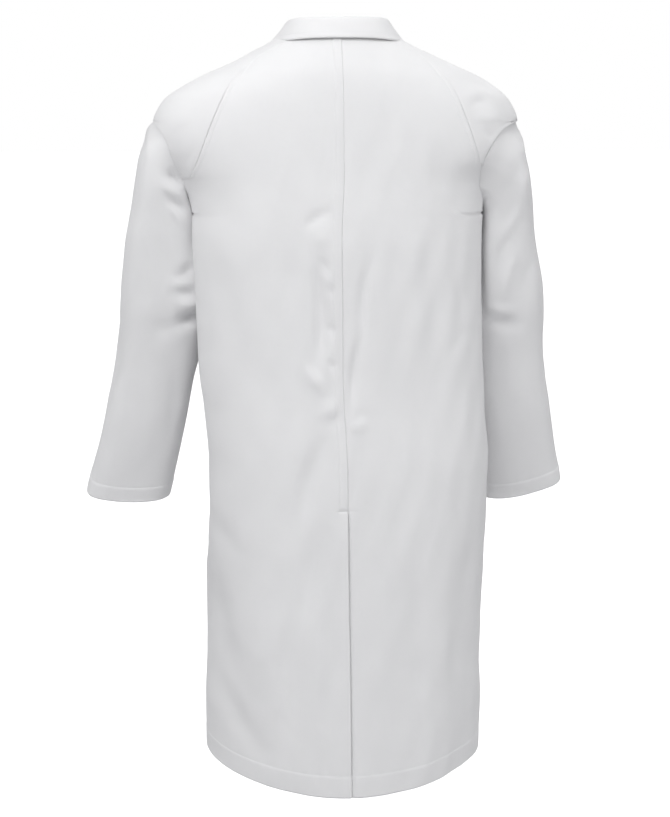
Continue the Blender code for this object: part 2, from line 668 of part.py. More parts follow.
def add_sleeves():
    for word, side in (("left", 1), ("right", -1)):
        pivot = Vector((side * SHOULDER_PIVOT.x, SHOULDER_PIVOT.y, SHOULDER_PIVOT.z))
        inside = Vector((side * 0.250, -0.030, -0.400))
        for half, first, toward in (("back", 0.0, 1.0), ("front", math.pi, -1.0)):
            seam = Vector((0.0, toward * 0.5 * SEAM_GAP, 0.0))
            rows = []
            for i in range(SLEEVE_STEPS + 1):
                share = (i / SLEEVE_STEPS) ** SLEEVE_STEP_GROWTH
                rows.append([sleeve_point(phi, share, side) + seam
                             for phi in spread(first, first + math.pi, SLEEVE_COLUMNS)])
            cloth(f"sleeve_{word}_{half}", rows, COTTON, pivot, inside)


def clear_scene():
    for item in list(bpy.data.objects):
        bpy.data.objects.remove(item)


clear_scene()
add_back()
add_front()
add_raglans()
add_neck_inside()
add_hanger_loop()
add_collar()
add_lapels()
add_pockets()
for index, button_height in enumerate(BUTTON_HEIGHTS, start=1):
    add_button(index, button_height)
add_sleeves()
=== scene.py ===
"""Visual model of a white raglan-sleeved lab coat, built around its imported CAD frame.

Frame: metres, +Z up. The origin is the middle of the neck at the height of the back neck seam.
+X is the wearer's left, +Y the wearer's back, and the front faces -Y.
Every cloth piece is a fine grid on the same body shape as the CAD pieces, with folds, seams and hems
pressed into it, rounded folded edges, and rows of stitches laid along its seams.
"""
import math

import bmesh
import bpy
import numpy as np
from mathutils import Matrix, Vector


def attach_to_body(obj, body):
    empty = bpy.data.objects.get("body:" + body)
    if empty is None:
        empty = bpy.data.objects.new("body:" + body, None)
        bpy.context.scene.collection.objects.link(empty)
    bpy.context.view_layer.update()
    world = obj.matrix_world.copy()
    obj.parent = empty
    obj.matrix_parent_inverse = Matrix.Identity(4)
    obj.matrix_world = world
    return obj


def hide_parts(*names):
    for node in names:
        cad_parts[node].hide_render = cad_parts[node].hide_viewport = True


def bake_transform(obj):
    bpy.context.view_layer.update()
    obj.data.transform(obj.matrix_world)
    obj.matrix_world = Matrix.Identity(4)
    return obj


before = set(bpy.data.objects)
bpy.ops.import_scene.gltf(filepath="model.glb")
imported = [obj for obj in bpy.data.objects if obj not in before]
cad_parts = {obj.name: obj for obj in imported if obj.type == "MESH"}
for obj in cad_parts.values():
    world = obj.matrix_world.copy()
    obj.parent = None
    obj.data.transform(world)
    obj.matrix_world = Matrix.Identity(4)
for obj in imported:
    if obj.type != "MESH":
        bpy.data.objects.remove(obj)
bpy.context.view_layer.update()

# ---------------------------------------------------------------- driving dimensions, as in the CAD parts
CLOTH = 0.0012
FACING_CLOTH = 0.0010
LAYER = 0.0017              # depth that one more layer of cloth takes
HEM_AT_SIDE = -0.998        # the hem hangs a few millimetres higher at the sides than in CAD
HEM_DROP = 0.038            # and this much lower at the middle of the back and front
BACK_SKIRT_TOP = -0.675
FRONT_SKIRT_TOP = -0.700
SIDE_SEAM_Y = -0.008
VENT_TOP = -0.640
VENT_START = VENT_TOP + 0.004           # the underlap begins just above the tack
VENT_UNDERLAP = 0.040
VENT_SLANT = 0.060          # height over which the hidden top of the underlap slants
SEAM_TUCK = 0.0010          # the right half's edge lies this far under the left half's at the centre seam
SHOULDER_END = -0.120       # the shoulder ridge ends here, over the top of the armhole
RAGLAN_END = -0.197         # the armhole narrows from here
ARMPIT = -0.245             # to its lowest point
ARM_HALF_DEPTH = 0.050
ARCH_ROUND = 0.050          # height of the rounded top of the armhole
FRONT_OVERLAP = 0.018
BREAK_POINT = -0.270        # the lapels start to roll here
BUTTON_HEIGHTS = [-0.300 - 0.095 * count for count in range(5)]
BUTTON_RADIUS = 0.010
BUTTON_DEPTH = 0.0030
FACING_WIDTH = 0.068
BACK_TOP = -0.006
FRONT_TOP = -0.038
FRONT_SEAM_TOP = -0.032     # the front raglan seam starts here, under the collar
RAGLAN_GAP = 0.0006         # between a panel's edge and the cap's along the raglan seam
SIDE_GAP = 0.0002           # from the side seam to each panel's edge
RIDGE_GAP = 0.0004          # the same for the two caps along the shoulder, as an angle

# Shape of the body as (height, value) stations. Its half width differs only at the shoulders, since the
# right one hangs lower.
NECK_WIDTHS = [(0.000, 0.0740), (-0.0145, 0.0935)]
SHOULDER_WIDTHS = {
    1: [(-0.025, 0.1140), (-0.0385, 0.1390), (-0.065, 0.1970), (-0.0925, 0.2385), (-0.120, 0.2530),
        (-0.138, 0.2555), (-0.155, 0.2530), (-0.175, 0.2430), (-0.190, 0.2320), (-0.205, 0.2205),
        (-0.225, 0.2100)],
    -1: [(-0.025, 0.1160), (-0.0385, 0.1450), (-0.065, 0.2020), (-0.0925, 0.2355), (-0.120, 0.2465),
         (-0.138, 0.2470), (-0.155, 0.2430), (-0.175, 0.2290), (-0.190, 0.2120), (-0.205, 0.2040),
         (-0.225, 0.2030)],
}
TRUNK_WIDTHS = [(-0.250, 0.2045), (-0.420, 0.2035), (-0.600, 0.1985), (-0.855, 0.1930), (-0.930, 0.1955),
                (-1.040, 0.1940)]
HALF_WIDTH = {side: NECK_WIDTHS + widths + TRUNK_WIDTHS for side, widths in SHOULDER_WIDTHS.items()}
BACK_DEPTH = [(0.000, 0.066), (-0.030, 0.085), (-0.060, 0.100), (-0.100, 0.108), (-0.170, 0.115),
              (-0.300, 0.125), (-0.450, 0.125), (-0.600, 0.135), (-0.750, 0.140), (-1.040, 0.150)]
FRONT_DEPTH = [(0.000, 0.038), (-0.030, 0.050), (-0.060, 0.075), (-0.090, 0.092), (-0.150, 0.115),
               (-0.250, 0.128), (-0.450, 0.130), (-0.600, 0.135), (-0.800, 0.142), (-1.040, 0.150)]
SQUARENESS = [(0.000, 2.05), (-0.060, 2.30), (-0.150, 2.70), (-0.550, 2.70), (-0.800, 2.40),
              (-1.040, 2.20)]
SWAY = [(-0.200, 0.0), (-0.270, 0.0035), (-0.450, -0.002), (-0.600, -0.011), (-0.820, -0.008),
        (-1.040, -0.007)]
SEAM_SHIFT = [(0.000, 0.0030), (-0.290, 0.0035), (-0.600, 0.0110), (-0.850, 0.0050), (-1.040, 0.0025)]
ARM_DENT = [(-0.200, 0.0), (-0.245, 0.13), (-0.300, 0.18), (-0.470, 0.19), (-0.550, 0.15), (-0.640, 0.08),
            (-0.740, 0.0)]
DENT_Y = -0.030
DENT_REACH = 0.045

# The raglan seams, and the back edge of the armhole that they run into. The right shoulder hangs lower in
# its sleeve, so its armhole is cut further across the back.
BACK_RAGLAN = {
    1: [(-0.004, 0.062), (-0.021, 0.091), (-0.035, 0.117), (-0.0565, 0.139), (-0.073, 0.153),
        (-0.100, 0.1665), (-0.127, 0.1785), (-0.150, 0.1870), (-0.167, 0.1934), (-0.185, 0.2010),
        (-0.2045, 0.2098)],
    -1: [(-0.004, 0.062), (-0.021, 0.091), (-0.035, 0.115), (-0.0565, 0.133), (-0.073, 0.1445),
         (-0.110, 0.1605), (-0.140, 0.1715), (-0.165, 0.1800), (-0.187, 0.1855)],
}
ARMHOLE_BACK = {
    1: [(-0.120, 0.2529), (-0.126, 0.2490), (-0.135, 0.2420), (-0.150, 0.2345), (-0.168, 0.2285),
        (-0.189, 0.2205), (-0.2055, 0.2120), (-0.225, 0.2080), (-0.240, 0.2050), (-0.245, 0.2052)],
    -1: [(-0.120, 0.2464), (-0.1235, 0.2330), (-0.132, 0.2160), (-0.150, 0.2010), (-0.172, 0.1895),
         (-0.190, 0.1855), (-0.205, 0.1860), (-0.220, 0.1934), (-0.235, 0.2006), (-0.245, 0.2044)],
}
BACK_JOIN = {1: -0.2010, -1: -0.1835}     # where the back raglan seam runs into the armhole
FRONT_RAGLAN = [(-0.010, 0.0765), (-0.022, 0.083), (-0.035, 0.104), (-0.0565, 0.133), (-0.073, 0.150),
                (-0.110, 0.164), (-0.140, 0.177), (-0.170, 0.190), (-0.2045, 0.2090)]
FRONT_JOIN = -0.2010
JOIN_COVER = 0.0030          # the panels lie over the caps' lowest points by this much
ROLL_LINE = [(-0.004, 0.0775), (-0.012, 0.0770), (-0.030, 0.0745), (-0.056, 0.0700), (-0.090, 0.0620),
             (BREAK_POINT, -FRONT_OVERLAP)]
LAPEL_EDGE = [(-0.062, 0.112), (-0.085, 0.122), (-0.120, 0.112), (-0.200, 0.055), (BREAK_POINT, -0.010)]

SLEEVE_OUTER = {
    1: [(-0.116, 0.2500), (-0.122, 0.2560), (-0.128, 0.2600), (-0.147, 0.2645), (-0.174, 0.2737),
        (-0.229, 0.2827), (-0.284, 0.2918), (-0.340, 0.2953), (-0.452, 0.3095), (-0.508, 0.3202),
        (-0.565, 0.3322), (-0.650, 0.3550)],
    -1: [(-0.116, 0.2440), (-0.122, 0.2480), (-0.128, 0.2500), (-0.148, 0.2530), (-0.176, 0.2590),
         (-0.232, 0.2700), (-0.288, 0.2750), (-0.345, 0.2838), (-0.459, 0.2988), (-0.517, 0.3072),
         (-0.575, 0.3169), (-0.650, 0.3320)],
}
SLEEVE_INNER = {
    1: [(-0.116, 0.232), (-0.140, 0.216), (-0.160, 0.204), (-0.180, 0.198), (-0.245, 0.192),
        (-0.300, 0.186), (-0.360, 0.182), (-0.440, 0.190), (-0.481, 0.200), (-0.566, 0.2165),
        (-0.650, 0.2350)],
    -1: [(-0.116, 0.222), (-0.140, 0.203), (-0.160, 0.194), (-0.180, 0.191), (-0.245, 0.193),
         (-0.300, 0.187), (-0.360, 0.187), (-0.440, 0.191), (-0.500, 0.196), (-0.570, 0.2035),
         (-0.650, 0.2135)],
}
SLEEVE_MIDDLE_Y = [(-0.200, SIDE_SEAM_Y), (-0.260, -0.012), (-0.350, -0.026), (-0.450, -0.038),
                   (-0.650, -0.072)]
SLEEVE_HALF_DEPTH = [(-0.120, 0.020), (-0.140, 0.054), (-0.165, 0.064), (-0.200, 0.065), (-0.260, 0.061),
                     (-0.400, 0.058), (-0.650, 0.047)]
SLEEVE_SQUARENESS = 3.5
CUFF_MIDDLE = -0.6380
CUFF_FORWARD_TILT = 0.0145
CUFF_SIDE_TILT = {1: 0.003, -1: 0.014}
INSIDE_BODY = np.array((0.0, 0.0, -0.300))
SIDES = (("left", 1), ("right", -1))

# ---------------------------------------------------------------- seams, hems and stitches
BACK_STRIP = 0.0115         # width of the allowance pressed and stitched beside the centre back seam
RAGLAN_STRIP = 0.0060
HEM_STITCH = 0.026          # height of the hem's stitches above the edge
CUFF_STITCH = 0.020
EDGE_STITCH = 0.006         # distance of the stitches from the front, lapel, collar and pocket edges
POCKET_HEM = 0.024
STITCH_PITCH = 0.0030
STITCH_LENGTH = 0.0024
THREAD_RADIUS = 0.00024
GRID = 0.0060               # usual spacing of the grid's points
HEM_BLEND = 0.0010          # half of the height over which a turned hem's layers begin
EXTRA_LAYERS = 0.0010       # thickness that a turned hem adds
VENT_EDGE_RISE = 0.0016     # the left half's edge at the vent stands out this much
VENT_DIP = 0.0026           # and the right half under it sinks this much
FRONT_SINK = 2.3 * LAYER    # the right front lies this far under the left one near the middle


# ---------------------------------------------------------------- body shape
def measure(stations, height):
    """Smooth values at the heights from (height, value) stations, never past the stations' values."""
    table = np.array(stations, float)[::-1]
    levels, values = table[:, 0], table[:, 1]
    steps = np.diff(values) / np.diff(levels)
    slopes = np.empty(len(levels))
    slopes[0], slopes[-1] = steps[0], steps[-1]
    together = steps[:-1] * steps[1:]
    total = np.where(together > 0.0, steps[:-1] + steps[1:], 1.0)
    slopes[1:-1] = np.where(together > 0.0, 2.0 * together / total, 0.0)
    z = np.clip(np.asarray(height, float), levels[0], levels[-1])
    i = np.clip(np.searchsorted(levels, z, side="right") - 1, 0, len(levels) - 2)
    span = levels[i + 1] - levels[i]
    t = (z - levels[i]) / span
    return ((2 * t ** 3 - 3 * t ** 2 + 1) * values[i] + (t ** 3 - 2 * t ** 2 + t) * span * slopes[i]
            + (3 * t ** 2 - 2 * t ** 3) * values[i + 1] + (t ** 3 - t ** 2) * span * slopes[i + 1])


def smooth_step(value):
    """0 below zero and 1 above one, with a smooth rise between."""
    t = np.clip(value, 0.0, 1.0)
    return t * t * (3.0 - 2.0 * t)


def body_surface(theta, z, side):
    """Points on the body: theta is 0 at centre back, a quarter turn at the side, half a turn in front."""
    theta, z = np.broadcast_arrays(np.asarray(theta, float), np.asarray(z, float))
    depth = np.where(np.cos(theta) > 0.0, measure(BACK_DEPTH, z), measure(FRONT_DEPTH, z))
    power = measure(SQUARENESS, z)
    across, along = np.sin(theta), np.cos(theta)
    scale = (np.abs(across) ** power + np.abs(along) ** power) ** (-1.0 / power)
    y = depth * scale * along
    dent = measure(ARM_DENT, z) * np.exp(-((y - DENT_Y) / DENT_REACH) ** 2)
    x = measure(HALF_WIDTH[side], z) * scale * across * (1.0 - dent)
    return np.stack([side * x + measure(SWAY, z), y, z], axis=-1)


def theta_at_x(x, z, front, side=1):
    """The angle at which the surface is x from the body's middle, in front or at the back."""
    ratio = np.clip(x / measure(HALF_WIDTH[side], z), -0.9999, 0.9999)
    power = measure(SQUARENESS, z)
    along = (1.0 - np.abs(ratio) ** power) ** (1.0 / power)
    if front:
        return np.arctan2(ratio, -along) % (2.0 * math.pi)
    return np.arctan2(ratio, along)


def theta_at_y(y, z):
    """The angle at which the surface is y behind the body's middle plane."""
    ratio = y / np.where(y > 0.0, measure(BACK_DEPTH, z), measure(FRONT_DEPTH, z))
    power = measure(SQUARENESS, z)
    return np.arctan2((1.0 - np.abs(ratio) ** power) ** (1.0 / power), ratio)


def armhole_half(z):
    """Half of the armhole's opening, from front to back, at each height."""
    z = np.asarray(z, float)
    top_middle = SHOULDER_END - ARCH_ROUND
    arch = np.sqrt(np.clip(1.0 - ((z - top_middle) / ARCH_ROUND) ** 2, 0.0, 1.0))
    floor = np.sqrt(np.clip(1.0 - ((z - RAGLAN_END) / (RAGLAN_END - ARMPIT)) ** 2, 0.0, 1.0))
    return ARM_HALF_DEPTH * np.where(z > top_middle, arch, np.where(z >= RAGLAN_END, 1.0, floor))


def back_centre(z, side):
    """The centre seam, which hangs a little askew; at the vent the right half reaches under the left."""
    from_middle = side * measure(SEAM_SHIFT, z)
    if side < 0:
        reach = VENT_UNDERLAP * np.clip((VENT_START - z) / VENT_SLANT, 0.0, 1.0)
        from_middle = from_middle - SEAM_TUCK - reach
    return theta_at_x(from_middle, z, False, side)


def armhole_back(z, side):
    """The back edge of the armhole."""
    return theta_at_x(measure(ARMHOLE_BACK[side], z), z, False, side)


def armhole_front(z, side):
    """The front edge of the armhole, which is the same on both sides."""
    return theta_at_y(SIDE_SEAM_Y - armhole_half(z), z)


def raglan_back(z, side):
    """The raglan seam on the back."""
    return theta_at_x(measure(BACK_RAGLAN[side], z), z, False, side)


def raglan_front(z, side):
    """The raglan seam on the front."""
    return theta_at_x(measure(FRONT_RAGLAN, z), z, True, side)


def back_outer(z, side):
    """The raglan seam down to where it runs into the armhole's edge, then that edge, then the side seam."""
    if z > BACK_JOIN[side] + JOIN_COVER:
        return raglan_back(z, side)
    return armhole_back(z, side) if z > ARMPIT else theta_at_y(SIDE_SEAM_Y + SIDE_GAP, z)


def front_outer(z, side):
    """The front panel's outer edge: raglan seam, armhole, then side seam."""
    if z > FRONT_JOIN + JOIN_COVER:
        return raglan_front(z, side)
    return armhole_front(z, side) if z > ARMPIT else theta_at_y(SIDE_SEAM_Y - SIDE_GAP, z)


def front_inner(z, side):
    """The front panel's inner edge: the lapel's roll line, then the overlap."""
    edge = measure(ROLL_LINE, z) if z > BREAK_POINT else -FRONT_OVERLAP
    return theta_at_x(edge, z, True, side)


def cap_back_inner(z, side):
    """The back cap's edge beside the raglan seam."""
    return raglan_back(z, side) + RAGLAN_GAP / measure(BACK_DEPTH, z)


def cap_front_inner(z, side):
    """The front cap's edge: under the collar, then beside the raglan seam."""
    if z > FRONT_SEAM_TOP:
        return theta_at_x(measure(ROLL_LINE, z), z, True, side)
    return raglan_front(z, side) - RAGLAN_GAP / measure(BACK_DEPTH, z)


def cap_back_outer(z, side):
    """The back cap's edge: along the shoulder, then round the armhole."""
    return 0.5 * math.pi - RIDGE_GAP if z >= SHOULDER_END else armhole_back(z, side)


def cap_front_outer(z, side):
    """The front cap's edge: along the shoulder, then round the armhole."""
    return 0.5 * math.pi + RIDGE_GAP if z >= SHOULDER_END else armhole_front(z, side)


# ---------------------------------------------------------------- folds and ripples
FOLD_FADE = 0.45            # share of a fold's length over which each of its ends fades out
FOLD_BOW = 0.05             # how far a fold bends sideways, as a share of its length


def fold_height(x, z, folds):
    """Sum of soft folds. Each is (x, z) start, (x, z) end, half width and height; below zero is a valley."""
    total = np.zeros(np.broadcast(x, z).shape)
    for (x0, z0), (x1, z1), width, height in folds:
        run = math.hypot(x1 - x0, z1 - z0)
        ux, uz = (x1 - x0) / run, (z1 - z0) / run
        along = (x - x0) * ux + (z - z0) * uz
        off = (x - x0) * uz - (z - z0) * ux
        share = (along + width) / (run + 2.0 * width)
        fade = smooth_step(share / FOLD_FADE) * smooth_step((1.0 - share) / FOLD_FADE)
        place = np.clip(share, 0.0, 1.0)
        bow = FOLD_BOW * run * np.sin(math.pi * place) * math.copysign(1.0, x0 + z0 + 0.3)
        reach = width * (0.8 + 0.5 * place)
        total += height * fade * np.exp(-((off - bow) / reach) ** 2)
    return total


def ripples(u, v, across_length, along_length, seed, waves=7):
    """Smooth irregular waves between about -1 and 1; the lengths are typical wavelengths."""
    chance = np.random.RandomState(seed)
    total = 0.0
    for _ in range(waves):
        fu = chance.uniform(-1.0, 1.0) * 2.0 * math.pi / across_length
        fv = chance.uniform(-1.0, 1.0) * 2.0 * math.pi / along_length
        total = total + np.sin(u * fu + v * fv + chance.uniform(0.0, 2.0 * math.pi))
    return total / math.sqrt(0.5 * waves) / 2.0


def seam_dip(distance, depth=0.0005, reach=0.0013):
    """The groove that a row of stitches or a seam pulls into the cloth."""
    return -depth * np.exp(-(distance / reach) ** 2)


def pressed_strip(distance, strip, height=0.0009):
    """Allowance pressed to one side of a seam: a low raised strip with a dip at each of its edges."""
    raised = height * smooth_step((strip + 0.0012 - distance) / 0.0024)
    return raised + seam_dip(distance - strip, 0.0004, 0.0010)


def puckers(distance, along, seed, height=0.00035):
    """Small ripples that stitching draws up beside a seam."""
    return height * np.exp(-np.abs(distance) / 0.011) * ripples(along, distance, 0.011, 0.060, seed, 6)


def settled(distance, start, reach, least=0.0):
    """How much of a fold is left near a seam: from a least share at the seam up to all of it."""
    return smooth_step((distance - start) / reach) * (1.0 - least) + least


def hem_band(above, stitch):
    """1 on a hem's turned layers and 0 above them; above is the height over the hem's edge."""
    return smooth_step((stitch + HEM_BLEND - above) / (2.0 * HEM_BLEND))


def hem_relief(above, stitch, raised, dip):
    """Turned hem: a slightly raised band that ends in a row of stitches."""
    return raised * hem_band(above, stitch) + seam_dip(above - stitch, dip, 0.0012)


def raglan_relief(distance, z, join, seed):
    """The raglan seam's stitched allowance, down to where the seam runs into the armhole."""
    sewn = pressed_strip(distance, RAGLAN_STRIP, 0.0005) + puckers(distance, z, seed, 0.0003)
    return sewn * smooth_step((z - join) / 0.01)


BACK_FOLDS = [
    # soft folds on both sides of the centre seam, at the hollow of the back
    ((0.056, -0.258), (0.018, -0.236), 0.0068, -0.0034),
    ((0.044, -0.280), (0.020, -0.270), 0.0070, 0.0018),
    ((0.045, -0.290), (0.041, -0.460), 0.0078, -0.0066),
    ((0.036, -0.298), (0.024, -0.322), 0.0050, -0.0028),
    ((0.028, -0.338), (0.013, -0.346), 0.0048, -0.0026),
    ((0.028, -0.390), (0.013, -0.398), 0.0045, -0.0024),
    ((0.026, -0.438), (0.012, -0.446), 0.0045, -0.0024),
    ((0.054, -0.444), (0.032, -0.476), 0.0075, 0.0038),
    ((0.038, -0.509), (0.006, -0.488), 0.0070, 0.0024),
    ((0.034, -0.524), (0.002, -0.508), 0.0066, -0.0016),
    ((0.022, -0.520), (0.066, -0.700), 0.0130, -0.0072),
    ((-0.036, -0.286), (-0.022, -0.430), 0.0070, -0.0050),
    ((-0.024, -0.388), (-0.009, -0.506), 0.0066, -0.0048),
    ((0.000, -0.530), (-0.026, -0.520), 0.0050, 0.0022),
    ((-0.010, -0.512), (-0.026, -0.506), 0.0050, -0.0014),
    ((-0.050, -0.290), (-0.058, -0.430), 0.0130, 0.0016),
    # long soft fold down the right half, where the shade begins
    ((-0.078, -0.200), (-0.084, -0.520), 0.0150, 0.0030),
    ((-0.120, -0.230), (-0.130, -0.480), 0.0180, -0.0022),
    ((-0.150, -0.330), (-0.166, -0.372), 0.0060, -0.0014),
    ((-0.172, -0.395), (-0.140, -0.440), 0.0080, -0.0012),
    # left half, over the shoulder blade and down the side
    ((0.120, -0.200), (0.152, -0.330), 0.0200, 0.0020),
    ((0.098, -0.230), (0.090, -0.470), 0.0200, -0.0014),
    ((0.170, -0.300), (0.150, -0.520), 0.0130, -0.0016),
    # skirt
    ((0.034, -0.650), (0.060, -0.800), 0.0150, -0.0050),
    ((0.058, -0.740), (0.066, -1.020), 0.0170, -0.0050),
    ((0.024, -0.700), (0.026, -0.960), 0.0140, 0.0018),
    ((0.174, -0.720), (0.150, -0.890), 0.0150, -0.0056),
    ((0.186, -0.850), (0.100, -1.000), 0.0150, -0.0040),
    ((0.120, -0.760), (0.100, -0.870), 0.0200, 0.0024),
    ((0.186, -0.640), (0.130, -0.720), 0.0110, -0.0014),
    ((-0.052, -0.680), (-0.060, -0.980), 0.0180, 0.0016),
    ((-0.104, -0.700), (-0.112, -1.000), 0.0210, -0.0034),
    ((-0.150, -0.660), (-0.146, -0.940), 0.0160, 0.0020),
    ((-0.176, -0.690), (-0.172, -0.820), 0.0090, -0.0024),
]
FRONT_FOLDS = [
    ((0.100, -0.400), (0.085, -0.480), 0.0120, -0.0016),
    ((0.160, -0.300), (0.120, -0.420), 0.0120, -0.0020),
    ((0.120, -0.740), (0.130, -0.960), 0.0200, -0.0040),
    ((0.070, -0.720), (0.068, -0.980), 0.0180, 0.0026),
    ((-0.110, -0.390), (-0.080, -0.480), 0.0130, -0.0018),
    ((-0.150, -0.280), (-0.120, -0.400), 0.0130, -0.0020),
    ((-0.100, -0.730), (-0.112, -0.980), 0.0200, -0.0038),
    ((-0.150, -0.700), (-0.160, -0.940), 0.0150, 0.0024),
]
CAP_FOLDS = {
    1: [((0.205, -0.110), (0.232, -0.128), 0.0060, 0.0010),
        ((0.196, -0.150), (0.214, -0.178), 0.0070, -0.0010),
        ((0.120, -0.046), (0.165, -0.066), 0.0080, -0.0010)],
    -1: [((-0.150, -0.060), (-0.214, -0.080), 0.0052, -0.0024),
         ((-0.172, -0.100), (-0.196, -0.090), 0.0044, -0.0022),
         ((-0.166, -0.078), (-0.205, -0.090), 0.0050, 0.0014),
         ((-0.176, -0.118), (-0.210, -0.116), 0.0060, 0.0012),
         ((-0.186, -0.132), (-0.206, -0.142), 0.0050, -0.0012)],
}
SLEEVE_FOLDS = {
    1: [((0.244, -0.184), (0.210, -0.207), 0.0045, -0.0070),
        ((0.246, -0.207), (0.210, -0.222), 0.0055, 0.0042),
        ((0.240, -0.223), (0.208, -0.243), 0.0050, -0.0042),
        ((0.232, -0.236), (0.214, -0.262), 0.0050, 0.0026),
        ((0.198, -0.230), (0.204, -0.312), 0.0090, -0.0060),
        ((0.200, -0.308), (0.224, -0.332), 0.0055, -0.0052),
        ((0.204, -0.334), (0.236, -0.342), 0.0058, 0.0026),
        ((0.198, -0.348), (0.226, -0.352), 0.0048, -0.0042),
        ((0.192, -0.364), (0.224, -0.370), 0.0064, 0.0046),
        ((0.186, -0.381), (0.224, -0.394), 0.0080, -0.0125),
        ((0.216, -0.392), (0.262, -0.404), 0.0110, -0.0024),
        ((0.250, -0.270), (0.240, -0.350), 0.0090, -0.0016),
        ((0.268, -0.290), (0.276, -0.380), 0.0080, -0.0016),
        ((0.210, -0.430), (0.224, -0.570), 0.0110, 0.0026),
        ((0.232, -0.430), (0.246, -0.590), 0.0090, -0.0020),
        ((0.262, -0.440), (0.280, -0.610), 0.0120, 0.0016),
        ((0.290, -0.450), (0.312, -0.600), 0.0090, -0.0018)],
    -1: [((-0.234, -0.140), (-0.200, -0.200), 0.0070, -0.0030),
         ((-0.200, -0.180), (-0.205, -0.420), 0.0070, -0.0150),
         ((-0.254, -0.150), (-0.234, -0.240), 0.0080, -0.0016),
         ((-0.262, -0.170), (-0.246, -0.250), 0.0065, 0.0012),
         ((-0.246, -0.236), (-0.226, -0.292), 0.0080, 0.0024),
         ((-0.236, -0.262), (-0.218, -0.330), 0.0070, -0.0024),
         ((-0.246, -0.290), (-0.226, -0.376), 0.0080, 0.0026),
         ((-0.268, -0.300), (-0.254, -0.372), 0.0085, -0.0022),
         ((-0.208, -0.374), (-0.244, -0.384), 0.0070, 0.0026),
         ((-0.200, -0.392), (-0.256, -0.402), 0.0085, -0.0040),
         ((-0.226, -0.420), (-0.244, -0.560), 0.0120, -0.0024),
         ((-0.262, -0.430), (-0.282, -0.590), 0.0120, 0.0018)],
}
SLEEVE_FRONT_FOLDS = {
    1: [((0.205, -0.330), (0.270, -0.345), 0.0090, -0.0040),
        ((0.210, -0.370), (0.282, -0.362), 0.0090, 0.0030),
        ((0.205, -0.400), (0.280, -0.392), 0.0090, -0.0044),
        ((0.222, -0.180), (0.232, -0.290), 0.0090, -0.0024),
        ((0.262, -0.450), (0.300, -0.600), 0.0130, -0.0024)],
    -1: [((-0.205, -0.340), (-0.262, -0.330), 0.0090, -0.0040),
         ((-0.210, -0.372), (-0.270, -0.366), 0.0090, 0.0030),
         ((-0.205, -0.402), (-0.272, -0.398), 0.0090, -0.0044),
         ((-0.222, -0.180), (-0.232, -0.290), 0.0090, -0.0024),
         ((-0.250, -0.450), (-0.280, -0.600), 0.0130, -0.0024)],
}


# ---------------------------------------------------------------- materials
def new_material(name):
    """An empty material with its nodes, links and main shader."""
    material = bpy.data.materials.new(name)
    material.use_nodes = True
    nodes = material.node_tree.nodes
    links = material.node_tree.links
    return material, nodes, links, nodes["Principled BSDF"]


def math_node(nodes, links, operation, first, second):
    """Math node; each input is a socket or a number."""
    node = nodes.new("ShaderNodeMath")
    node.operation = operation
    for index, value in enumerate((first, second)):
        if isinstance(value, (int, float)):
            node.inputs[index].default_value = value
        else:
            links.new(value, node.inputs[index])
    return node.outputs[0]


def weighted_sum(nodes, links, first, first_weight, second, second_weight):
    """Sum of two sockets, each times its weight."""
    parts = [math_node(nodes, links, "MULTIPLY", socket, weight)
             for socket, weight in ((first, first_weight), (second, second_weight))]
    return math_node(nodes, links, "ADD", *parts)


def object_noise(nodes, links, spot, scale, detail=2.0, distortion=0.0):
    """Noise that is fixed to the piece's own coordinates."""
    noise = nodes.new("ShaderNodeTexNoise")
    noise.inputs["Scale"].default_value = scale
    noise.inputs["Detail"].default_value = detail
    noise.inputs["Distortion"].default_value = distortion
    links.new(spot.outputs["Object"], noise.inputs["Vector"])
    return noise.outputs["Fac"]


def tone_between(nodes, links, shader, share, dark, light, low=0.0, high=1.0):
    """Base colour that goes from dark to light as the share goes from low to high."""
    tone = nodes.new("ShaderNodeValToRGB")
    for element, place, colour in zip(tone.color_ramp.elements, (low, high), (dark, light)):
        element.position = place
        element.color = (*colour, 1.0)
    links.new(share, tone.inputs["Fac"])
    links.new(tone.outputs["Color"], shader.inputs["Base Color"])


def bump_from(nodes, links, shader, height, distance, strength):
    """Fine relief from a height."""
    bump = nodes.new("ShaderNodeBump")
    bump.inputs["Strength"].default_value = strength
    bump.inputs["Distance"].default_value = distance
    links.new(height, bump.inputs["Height"])
    links.new(bump.outputs["Normal"], shader.inputs["Normal"])


